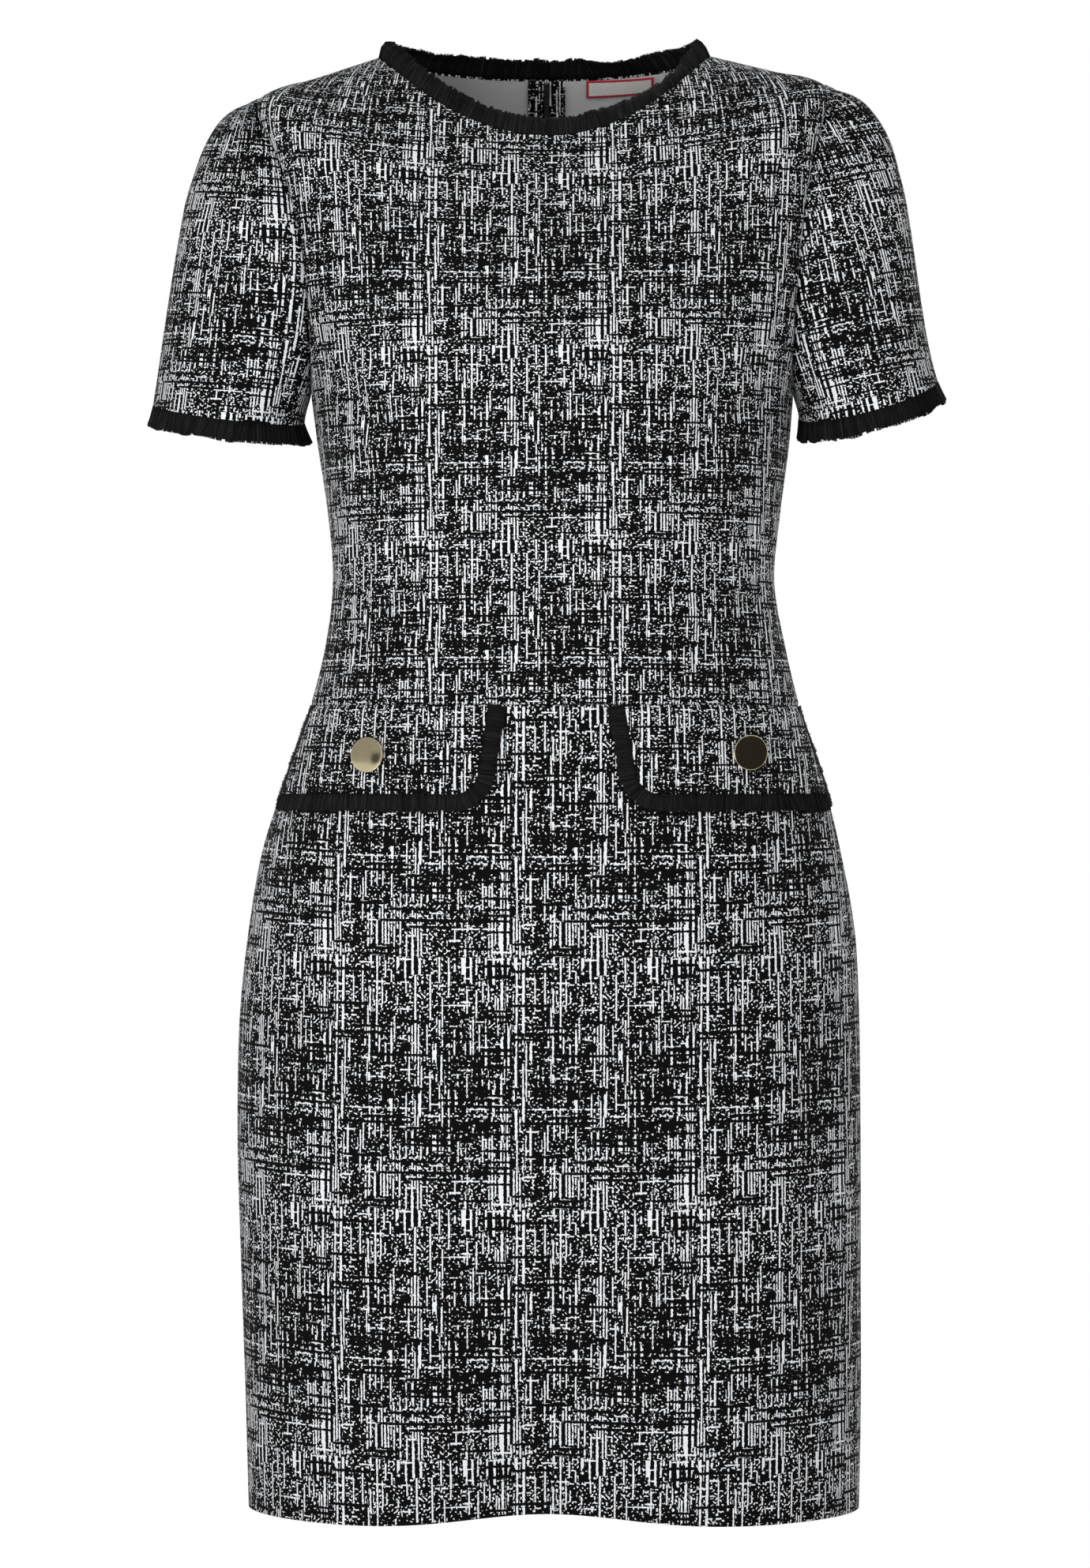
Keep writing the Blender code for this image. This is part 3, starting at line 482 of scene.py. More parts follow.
@dataclass(frozen=True)
class ZipFinish:
    """A black part of the zip."""

    name: str
    colour: tuple[float, float, float]
    roughness: float
    grain: float

    def make(self) -> bpy.types.Material:
        """The finish, with the grain of its weave or moulding."""
        maker = Maker(self.name)
        x, y, z = maker.place()
        weave = ((z + y) * (2 * math.pi / self.grain)).sine() * (x * (2 * math.pi / self.grain)).sine()
        haze = maker.noise(x / 2.0, (z + y) / 2.0, 2.0) * 0.25 + 0.5
        lighter = tuple(min(1.0, part * 1.9 + 0.004) for part in self.colour)
        return maker.surface(
            Base_Color=maker.mix((weave * 0.25 + haze * 0.5).clamp(), self.colour, lighter),
            Roughness=haze * 0.12 + (self.roughness - 0.06),
            Normal=maker.bump(weave * 0.5 + 0.5, 0.08, 0.4),
        )


@dataclass(frozen=True)
class WovenLabel:
    """A plain off-white woven label with a red woven edge, bare inside it."""

    wide: float
    tall: float
    edge: float = 1.5
    ground: tuple[float, float, float] = (0.93, 0.91, 0.87)
    ground_deep: tuple[float, float, float] = (0.78, 0.76, 0.72)
    red: tuple[float, float, float] = (0.62, 0.022, 0.045)
    red_deep: tuple[float, float, float] = (0.40, 0.014, 0.026)

    def make(self) -> bpy.types.Material:
        """The label. Its map starts at its middle."""
        maker = Maker("woven label")
        x, y = maker.cloth()
        ragged = maker.noise(x / 0.5, y / 0.5) * 0.12
        beyond = (abs(x) + ragged > self.wide / 2 - self.edge).larger(abs(y) + ragged > self.tall / 2 - self.edge)
        rib = (y * (2 * math.pi / 0.45)).sine() * (x * (2 * math.pi / 0.6)).sine()
        tint = maker.mix(beyond, self.ground, self.red)
        darker = maker.mix(beyond, self.ground_deep, self.red_deep)
        return maker.surface(
            Base_Color=maker.mix((rib * 0.35 + 0.4).clamp(), tint, darker),
            Roughness=rib * 0.05 + 0.68,
            Normal=maker.bump(rib * 0.5 + 0.5, 0.08, 0.5),
            Sheen_Weight=0.15,
        )


@dataclass(frozen=True)
class StudioPaper:
    """Seamless pale paper."""

    tone: float = 0.86

    def make(self) -> bpy.types.Material:
        """The paper."""
        maker = Maker("studio paper")
        x, y, _ = maker.place()
        cloud = maker.noise(x / 600.0, y / 600.0, 2.0) * 0.25 + 0.5
        low = (self.tone * 0.985,) * 3
        return maker.surface(Base_Color=maker.mix(cloud.clamp(), low, (self.tone,) * 3), Roughness=0.9)


# ---------------------------------------------------------------------------------------------------------
# Mesh helpers


def unit(vectors: Array) -> Array:
    """The vectors, each one long."""
    return vectors / np.maximum(np.linalg.norm(vectors, axis=-1, keepdims=True), 1e-12)


def even(*values: Array) -> list[Array]:
    """The values as arrays of one shape."""
    return np.broadcast_arrays(*(np.asarray(value, float) for value in values))


def smooth_step(share: Array) -> Array:
    """A share from 0 to 1 that starts and ends gently."""
    share = np.clip(share, 0.0, 1.0)
    return share * share * (3.0 - 2.0 * share)


def dense_ends(count: int, ends: float = 0.5) -> Array:
    """Shares from 0 to 1 in count steps, closer together at both ends.

    The step at an end is (1 - ends) of the mean step: t - ends / 2pi * sin(2pi t).
    """
    t = np.linspace(0.0, 1.0, count + 1)
    return t - ends / (2 * math.pi) * np.sin(2 * math.pi * t)


def add_object(name: str, data: bpy.types.ID) -> bpy.types.Object:
    """A new object in the scene's collection."""
    made = bpy.data.objects.new(name, data)
    bpy.context.collection.objects.link(made)
    return made


def run_length(points: Array, axis: int = 0) -> Array:
    """How far along a grid's lines each point lies, from the line's start."""
    steps = np.linalg.norm(np.diff(points, axis=axis), axis=-1)
    start = np.zeros_like(np.take(steps, [0], axis=axis))
    return np.concatenate([start, np.cumsum(steps, axis=axis)], axis=axis)


@dataclass
class Shape:
    """A mesh in the making: points in millimetres, faces, and a map with its own corners."""

    points: Array
    faces: list[Array]
    uv: Array | None = None
    uv_faces: list[Array] | None = None
    finishes: list[Array] | None = None
    turn_outwards: bool = True

    def piece(self, name: str, materials: Sequence[bpy.types.Material], slot: str) -> bpy.types.Object:
        """Makes the mesh an object that rides on the dress.

        Args:
            name: The piece's name.
            materials: Its materials, in the order that finishes counts them.
            slot: Not used.

        Returns:
            The object.
        """
        mesh = bpy.data.meshes.new(name)
        sizes = np.concatenate([np.full(len(group), group.shape[1]) for group in self.faces])
        corners = np.concatenate([group.ravel() for group in self.faces]).astype(np.int32)
        mesh.vertices.add(len(self.points))
        mesh.vertices.foreach_set("co", (self.points * MM).astype(np.float32).ravel())
        mesh.loops.add(len(corners))
        mesh.loops.foreach_set("vertex_index", corners)
        mesh.polygons.add(len(sizes))
        starts = np.concatenate([[0], np.cumsum(sizes)[:-1]]).astype(np.int32)
        mesh.polygons.foreach_set("loop_start", starts)
        if self.finishes is not None:
            mesh.polygons.foreach_set("material_index", np.concatenate(self.finishes).astype(np.int32))
        if self.uv is not None:
            mapped = self.faces if self.uv_faces is None else self.uv_faces
            spots = np.concatenate([group.ravel() for group in mapped])
            layer = mesh.uv_layers.new(name="Cloth")
            layer.data.foreach_set("uv", (self.uv[spots] * MM).astype(np.float32).ravel())
        mesh.update(calc_edges=True)
        if self.turn_outwards:
            turned = bmesh.new()
            turned.from_mesh(mesh)
            bmesh.ops.recalc_face_normals(turned, faces=turned.faces)
            turned.to_mesh(mesh)
            turned.free()
        mesh.shade_smooth()
        for material in materials:
            mesh.materials.append(material)
        made = add_object(name, mesh)
        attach(made, "dress")
        LOG.info("%s: %d faces", name, len(mesh.polygons))
        return made


@dataclass(frozen=True)
class Free:
    """Which edges of a wall are free and rounded, and not sewn to a neighbour."""

    low: bool = False
    high: bool = False
    first: bool = False
    last: bool = False


def wall(outer: Array, inner: Array, uv: Array, ring: bool = False, free: Free = Free(),
         printed_inside: Array | None = None) -> Shape:
    """A closed wall between two grids of points.

    The two faces are joined along the edges by a middle line, which stands out by a third of the wall's
    thickness where the edge is free. A ring joins its last column to its first.

    Args:
        outer: The outer face, rows by columns.
        inner: The inner face, of the same shape.
        uv: The cloth's map, rows by columns, with one more column for a ring.
        ring: Whether the grid closes on itself.
        free: Which edges are rounded.
        printed_inside: True for each face of the inner grid that takes the first finish.

    Returns:
        The closed shape. Its outer face and its edges take the first finish and its inner face the second.
    """
    rows, columns = outer.shape[:2]
    spans = columns if ring else columns - 1
    wide = uv.shape[1]
    i, j = (part.ravel() for part in np.meshgrid(np.arange(rows - 1), np.arange(spans), indexing="ij"))
    corners = ((0, 0), (0, 1), (1, 1), (1, 0))
    quad = np.stack([(i + a) * columns + (j + b) % columns for a, b in corners], axis=1)
    quad_uv = np.stack([(i + a) * wide + j + b for a, b in corners], axis=1)
    total, total_uv = rows * columns, rows * wide
    faces, uv_faces = [quad, quad[:, ::-1] + total], [quad_uv, quad_uv[:, ::-1] + total_uv]
    inside = np.ones(len(quad), int) if printed_inside is None else 1 - printed_inside.ravel().astype(int)
    finishes = [np.zeros(len(quad), int), inside]
    points, maps = [outer.reshape(-1, 3), inner.reshape(-1, 3)], [uv.reshape(-1, 2), uv.reshape(-1, 2)]
    if ring:
        across = np.arange(columns + 1)
        paths = [(np.zeros(columns + 1, int), across), (np.full(columns + 1, rows - 1), across)]
    else:
        down, right = np.arange(rows), np.arange(columns)
        path_i = np.concatenate([0 * right, down[1:], 0 * right[1:] + rows - 1, down[-2::-1]])
        path_j = np.concatenate([right, 0 * down[1:] + columns - 1, right[-2::-1], 0 * down[1:]])
        paths = [(path_i, path_j)]
    start, start_uv = 2 * total, 2 * total_uv
    for path_i, path_j in paths:
        count = len(path_i) - 1
        spot, spot_uv = path_i * columns + path_j % columns, path_i * wide + path_j
        here_i, here_j = path_i[:-1], path_j[:-1]
        near_i = np.clip(here_i, 1, rows - 2)
        near_j = here_j if ring else np.clip(here_j, 1, columns - 2)
        middle = (outer[here_i, here_j] + inner[here_i, here_j]) / 2
        beside = (outer[near_i, near_j] + inner[near_i, near_j]) / 2
        thickness = np.linalg.norm(outer[here_i, here_j] - inner[here_i, here_j], axis=-1)
        stands = ((here_i == 0) & free.low) | ((here_i == rows - 1) & free.high)
        if not ring:
            stands |= ((here_j == 0) & free.first) | ((here_j == columns - 1) & free.last)
        points.append(middle + unit(middle - beside) * (thickness * 0.33 * stands)[:, None])
        maps.append(uv[path_i, path_j])
        here = np.arange(count)
        after = here + 1
        rim = start + np.arange(count + 1) % count
        for shift, shift_uv in ((0, 0), (total, total_uv)):
            faces.append(np.stack([spot[here] + shift, rim[here], rim[after], spot[after] + shift], axis=1))
            uv_faces.append(np.stack([spot_uv[here] + shift_uv, start_uv + here, start_uv + after,
                                      spot_uv[after] + shift_uv], axis=1))
            finishes.append(np.zeros(count, int))
        start += count
        start_uv += count + 1
    return Shape(np.concatenate(points), faces, np.concatenate(maps), uv_faces, finishes)


def revolve(profile: Array, segments: int, middle: Array, axis: Array) -> Shape:
    """A profile of (radius, height) turned about an axis: middle + height * axis + radius * (cos, sin).

    Its first and last points lie on the axis.
    """
    axis = unit(np.asarray(axis, float))
    first = unit(np.cross((0.0, 0.0, 1.0), axis))
    second = np.cross(axis, first)
    angle = np.linspace(0.0, 2 * math.pi, segments, endpoint=False)
    ring = np.cos(angle)[:, None] * first + np.sin(angle)[:, None] * second
    radius, height = profile[1:-1, 0], profile[1:-1, 1]
    grid = middle + height[:, None, None] * axis + radius[:, None, None] * ring
    poles = middle + profile[[0, -1], 1][:, None] * axis
    rows = len(radius)
    i, j = np.meshgrid(np.arange(rows - 1), np.arange(segments), indexing="ij")
    i, j = i.ravel(), j.ravel()
    after = (j + 1) % segments
    low_row, high_row = i * segments, (i + 1) * segments
    quads = np.stack([low_row + j, low_row + after, high_row + after, high_row + j], axis=1)
    here = np.arange(segments)
    beyond = (here + 1) % segments
    low, high = rows * segments, rows * segments + 1
    last = (rows - 1) * segments
    foot = np.stack([np.full(segments, low), beyond, here], axis=1)
    head = np.stack([last + here, last + beyond, np.full(segments, high)], axis=1)
    return Shape(np.concatenate([grid.reshape(-1, 3), poles]), [quads, foot, head])


# ---------------------------------------------------------------------------------------------------------
# The dress's own surface


@dataclass(frozen=True)
class Section:
    """One ring of the body, which may tilt and bend."""

    level: float
    side_right: float  # the levels that it really passes at its sides, in front and at the back
    side_left: float
    front: float
    back: float
    right: float  # how far it reaches to each side, ahead and back
    left: float
    fore: float
    aft: float
    square: float  # the superellipse's power
    hollow: float  # how far the middle of its front sinks


SECTIONS = (
    Section(-950, -945.5, -946.5, -950, -950, 195.5, 205.5, 122, 119, 2.35, 26),
    Section(-890, -888, -889, -890, -890, 197.3, 206.5, 124, 121, 2.35, 20),
    Section(-790, -790, -790, -790, -790, 200.8, 206.5, 127, 124, 2.32, 11),
    Section(-684, -684, -684, -684, -684, 203.4, 206.3, 128, 127, 2.30, 3),
    Section(-619, -619, -619, -619, -619, 201.4, 205.5, 128, 128, 2.30, 0),
    Section(-567, -567, -567, -567, -567, 195.6, 202.6, 127, 126, 2.30, 0),
    Section(-515, -515, -515, -515, -515, 186.6, 192.9, 124, 121, 2.28, 0),
    Section(-463, -463, -463, -463, -463, 169.8, 179.6, 118, 112, 2.25, 0),
    Section(-421, -421, -421, -421, -421, 155.2, 166.4, 113, 104, 2.22, 0),
    Section(-383, -383, -383, -383, -383, 145.6, 157.2, 109, 97, 2.20, 0),
    Section(-340, -340, -340, -340, -340, 140.6, 149.8, 109, 91, 2.20, 0),
    Section(-295, -295, -295, -295, -295, 143.8, 153.6, 117, 94, 2.22, 0),
    Section(-250, -250, -250, -250, -250, 150.4, 159.4, 129, 103, 2.25, 0),
    Section(-208, -208, -208, -210, -209, 156.3, 163.4, 133, 111, 2.25, 0),
    Section(-165, -165, -165, -180, -174, 166.0, 173.0, 127, 113, 2.22, 0),
    Section(-112, -112, -110, -148, -131, 174.5, 181.0, 115, 110, 2.18, 0),
    Section(-62, -62, -57, -121, -92, 184.0, 184.5, 102, 102, 2.12, 0),
    Section(-20, -21, -12, -99, -60, 192.5, 186.5, 90, 92, 2.06, 0),
    Section(21, -7.7, -3.2, -75, -31, 152.5, 150.5, 77, 79, 2.02, 0),
    Section(63, 6, 7, -51.5, -1, 111.0, 108.0, 62, 62, 2.00, 0),
)


@dataclass(frozen=True)
class Body:
    """The body of the dress as one ring surface, the same as the frame's."""

    sections: tuple[Section, ...] = SECTIONS
    hollow_spread: float = 62.0
    hollow_lift: float = 0.345
    lift_spread: float = 80.0
    armhole_front: float = 24.0
    armhole_back: float = 26.0

    def column(self, name: str, level: Array) -> Array:
        """A column of the table at any level: cubic through the rows, with each row's slope from its neighbours."""
        at = np.array([row.level for row in self.sections])
        value = np.array([getattr(row, name) for row in self.sections], float)
        step = np.diff(at)
        slope = np.diff(value) / step
        inner = (slope[:-1] * step[1:] + slope[1:] * step[:-1]) / (step[:-1] + step[1:])
        tangent = np.concatenate([slope[:1], inner, slope[-1:]])
        level = np.clip(np.asarray(level, float), at[0], at[-1])
        i = np.clip(np.searchsorted(at, level, side="right") - 1, 0, len(step) - 1)
        u = (level - at[i]) / step[i]
        leave = u * (1 - u) ** 2 * step[i] * tangent[i]
        arrive = -u * u * (1 - u) * step[i] * tangent[i + 1]
        return value[i] + (3 - 2 * u) * u * u * (value[i + 1] - value[i]) + leave + arrive

    def at(self, theta: Array, level: Array) -> Array:
        """Points of the outer face: a superellipse of the level's half widths and depths, 0 at the left side."""
        theta, level = even(theta, level)
        across, ahead = np.cos(theta), np.sin(theta)
        power = 2 / self.column("square", level)
        wide = np.where(across >= 0, self.column("left", level), self.column("right", level))
        deep = np.where(ahead >= 0, self.column("fore", level), self.column("aft", level))
        x = wide * np.sign(across) * np.abs(across) ** power
        y = -deep * np.sign(ahead) * np.abs(ahead) ** power
        hollow = self.column("hollow", level) * (ahead > 0)
        sink = hollow * np.exp(-((x / self.hollow_spread) ** 2))
        left, right = self.column("side_left", level), self.column("side_right", level)
        side = (left + right) / 2 + (left - right) / 2 * across
        middle = np.where(ahead >= 0, self.column("front", level), self.column("back", level))
        z = side + (middle - side) * ahead**2 + hollow * self.hollow_lift * np.exp(-((x / self.lift_spread) ** 2))
        return np.stack([x, y + sink, z], axis=-1)

    def normal(self, theta: Array, level: Array) -> Array:
        """Outward normals, from two short steps on the surface."""
        theta, level = even(theta, level)
        turn = math.radians(0.4)
        around = self.at(theta + turn, level) - self.at(theta - turn, level)
        up = self.at(theta, np.minimum(level + 0.5, NECK)) - self.at(theta, np.maximum(level - 0.5, HEM))
        return unit(np.cross(up, around))

    def angle(self, x: Array, level: Array, face: Face) -> Array:
        """The angle at a distance x from the middle of a face."""
        x, level = even(x, level)
        wide = np.where(x >= 0, self.column("left", level), self.column("right", level))
        turn = np.arccos(np.clip(np.abs(x) / wide, 0, 1) ** (self.column("square", level) / 2))
        return np.where(x >= 0, turn, math.pi - turn) * face.value

    def armhole(self, side: Side, psi: Array) -> tuple[Array, Array]:
        """(theta, level) along an armhole. psi is 0 at the underarm and 180 degrees at the shoulder tip."""
        level = UNDERARM + (SHOULDER_TIP - UNDERARM) * (1 - np.cos(psi)) / 2
        ahead = np.sin(psi)
        open_by = np.radians(np.where(ahead >= 0, self.armhole_front, self.armhole_back)) * ahead
        return (open_by if side is Side.LEFT else math.pi - open_by), level


class ClothMap:
    """Where each point of one face of the body lies on its flat cloth, in millimetres.

    u is the level distance from the middle of the face, towards the wearer's left. v is the distance up the
    cloth from the waist seam, square to u. Both are summed over a fine grid and read from it in between.
    """

    def __init__(self, body: Body, face: Face) -> None:
        """Measures one face of a body."""
        self.turns = np.linspace(0.0, math.pi, 961)
        self.levels = np.linspace(HEM, NECK, 340)
        grid = body.at(face.value * self.turns[None], self.levels[:, None])
        flat = np.diff(grid, axis=1)[..., :2]
        steps = np.linalg.norm(flat, axis=-1)
        run = np.concatenate([np.zeros((len(self.levels), 1)), np.cumsum(steps, axis=1)], axis=1)
        self.u = run[:, [len(self.turns) // 2]] - run
        self.half = (run[:, len(self.turns) // 2], run[:, -1] - run[:, len(self.turns) // 2])
        tangent = np.gradient(grid, axis=1)
        tangent[..., 2] = 0
        tangent = unit(tangent)
        climb = np.diff(grid, axis=0)
        mean = unit(tangent[1:] + tangent[:-1])
        climb = climb - (climb * mean).sum(-1, keepdims=True) * mean
        rise = np.concatenate([np.zeros((1, len(self.turns))), np.cumsum(np.linalg.norm(climb, axis=-1), axis=0)])
        waist = np.array([np.interp(WAIST_SEAM, self.levels, rise[:, k]) for k in range(len(self.turns))])
        self.v = rise - waist

    def read(self, theta: Array, level: Array) -> tuple[Array, Array]:
        """(u, v) at an angle and a level, read between the four grid points around it."""
        theta, level = even(theta, level)
        turn = np.abs(np.arctan2(np.sin(theta), np.cos(theta)))
        a = np.clip((level - HEM) / (NECK - HEM) * (len(self.levels) - 1), 0, len(self.levels) - 1.001)
        b = np.clip(turn / math.pi * (len(self.turns) - 1), 0, len(self.turns) - 1.001)
        i, j = a.astype(int), b.astype(int)
        s, t = a - i, b - j
        found = []
        for table in (self.u, self.v):
            low = table[i, j] * (1 - t) + table[i, j + 1] * t
            high = table[i + 1, j] * (1 - t) + table[i + 1, j + 1] * t
            found.append(low * (1 - s) + high * s)
        return found[0], found[1]

    def to_side(self, u: Array, level: Array) -> Array:
        """How far a point lies from the side seam."""
        left, right = (np.interp(level, self.levels, half) for half in self.half)
        return np.where(u >= 0, left - u, right + u)


@dataclass(frozen=True)
class Fold:
    """One soft fold: a ridge with a shallow trough on each side, or the reverse where its height is negative."""

    u: float
    v: float
    u_to: float
    v_to: float
    width: float
    height: float

    def rise(self, u: Array, v: Array) -> Array:
        """Height over the cloth: exp(-(q / width)^2) less two troughs beside it, faded to its two ends."""
        along_u, along_v = self.u_to - self.u, self.v_to - self.v
        length = math.hypot(along_u, along_v)
        along_u, along_v = along_u / length, along_v / length
        s = ((u - self.u) * along_u + (v - self.v) * along_v) / length * 2 - 1
        bend = 0.06 * length * (1 - s**2)
        q = ((v - self.v) * along_u - (u - self.u) * along_v - bend) / self.width
        troughs = np.exp(-((q - 1.9) ** 2)) + np.exp(-((q + 1.9) ** 2))
        fade = np.clip(1 - s**2, 0, 1) ** 1.5
        return self.height * (np.exp(-(q**2)) - 0.42 * troughs) * fade


FRONT_FOLDS = (
    Fold(-88, 196, -146, 232, 7.0, 1.5),
    Fold(-92, 176, -150, 205, 8.0, -1.3),
    Fold(-84, 216, -138, 262, 8.0, -1.2),
    Fold(-60, 150, -146, 178, 9.0, 1.0),
    Fold(90, 198, 150, 238, 7.5, 1.6),
    Fold(94, 172, 156, 200, 8.5, -1.4),
    Fold(82, 222, 140, 270, 8.0, 1.1),
    Fold(58, 148, 150, 172, 9.0, -0.9),
    Fold(-130, 62, -40, 50, 9.0, -1.1),
    Fold(136, 70, 36, 58, 10.0, 1.2),
    Fold(-120, 34, -50, 26, 8.0, 0.9),
    Fold(128, 38, 62, 28, 8.0, -0.8),
    Fold(-36, 330, -96, 296, 12.0, 0.8),
    Fold(40, 326, 104, 290, 12.0, -0.8),
    Fold(-128, -170, -140, -440, 17.0, 1.8),
    Fold(-62, -260, -74, -500, 20.0, -1.6),
    Fold(70, -230, 84, -500, 19.0, -1.7),
    Fold(134, -150, 146, -430, 16.0, 1.7),
    Fold(6, -120, -14, -330, 22.0, 0.9),
    Fold(-165, -120, -120, -150, 11.0, 0.9),
    Fold(168, -122, 120, -156, 11.0, -0.9),
)

BACK_FOLDS = (
    Fold(-96, 214, -150, 246, 8.0, 1.5),
    Fold(98, 208, 154, 240, 8.0, 1.4),
    Fold(-70, 180, -148, 196, 9.0, -1.1),
    Fold(74, 184, 150, 202, 9.0, -1.2),
    Fold(-132, 96, -16, 78, 10.0, 1.9),
    Fold(130, 88, 18, 74, 10.0, 1.7),
    Fold(-124, 56, -20, 44, 9.0, -1.6),
    Fold(126, 52, 22, 40, 9.0, 1.6),
    Fold(-110, 20, -24, 12, 9.0, 1.2),
    Fold(116, 16, 30, 8, 9.0, -1.1),
    Fold(-44, 340, -120, 300, 13.0, 0.9),
    Fold(48, 336, 122, 296, 13.0, 0.9),
    Fold(-124, -180, -142, -470, 18.0, 1.8),
    Fold(-58, -250, -66, -505, 20.0, -1.7),
    Fold(64, -240, 76, -505, 20.0, 1.6),
    Fold(132, -160, 150, -450, 17.0, -1.8),
)


class Drape:
    """The body's surface with its folds."""

    def __init__(self, body: Body) -> None:
        """Lays the folds on a body."""
        self.body = body
        self.maps = {face: ClothMap(body, face) for face in Face}
        self.folds = {Face.FRONT: FRONT_FOLDS, Face.BACK: BACK_FOLDS}

    def face_height(self, face: Face, theta: Array, level: Array) -> Array:
        """The folds' height on one face, faded out towards its side seams."""
        cloth = self.maps[face]
        u, v = cloth.read(theta, level)
        total = sum(fold.rise(u, v) for fold in self.folds[face])
        slow = 0.35 * np.sin(u / 31.0 + v / 47.0 + face.value) + 0.25 * np.sin(u / 19.0 - v / 38.0)
        return (total + slow) * smooth_step(cloth.to_side(u, level) / 16.0)

    def height(self, theta: Array, level: Array) -> Array:
        """The folds' height at any angle."""
        theta, level = even(theta, level)
        front, back = (self.face_height(face, theta, level) for face in (Face.FRONT, Face.BACK))
        return np.where(np.sin(theta) >= 0, front, back)

    def at(self, theta: Array, level: Array) -> Array:
        """Points of the draped outer face."""
        return self.body.at(theta, level) + self.body.normal(theta, level) * self.height(theta, level)[..., None]

    def inside(self, x: Array, level: Array, depth: Array) -> Array:
        """Points inside the back, at x from its middle and at a depth under its outer face."""
        theta = self.body.angle(x, level, Face.BACK)
        return self.at(theta, level) - self.body.normal(theta, level) * np.asarray(depth, float)[..., None]

    def near(self, theta: Array, level: Array, offset: Array) -> tuple[Array, Array]:
        """(theta, level) of the points a short offset away on the surface, by one step of its two slopes."""
        around = (self.body.at(theta + 0.005, level) - self.body.at(theta - 0.005, level)) / 0.01
        up = self.body.at(theta, level + 0.5) - self.body.at(theta, level - 0.5)
        aa, uu, au = (around * around).sum(-1), (up * up).sum(-1), (around * up).sum(-1)
        oa, ou = (offset * around).sum(-1), (offset * up).sum(-1)
        det = aa * uu - au * au
        return theta + (oa * uu - ou * au) / det, level + (ou * aa - oa * au) / det


@dataclass(frozen=True)
class Cuff:
    """The size and place of one cuff, and how its sleeve runs to it."""

    side: Side
    outer_x: float  # its outermost and innermost points
    outer_z: float
    inner_x: float
    inner_z: float
    depth: float  # half of its size from front to back
    dip: float  # how much lower its front is than its back, halved
    flare: float  # how far the sleeve's outer side still leans out as it arrives
    cap: float  # how firmly the sleeve leaves its armhole, and how firmly it arrives
    reach: float
    splay: float  # how much further the yarns at its inner side point outwards
    folds: tuple[Fold, ...]


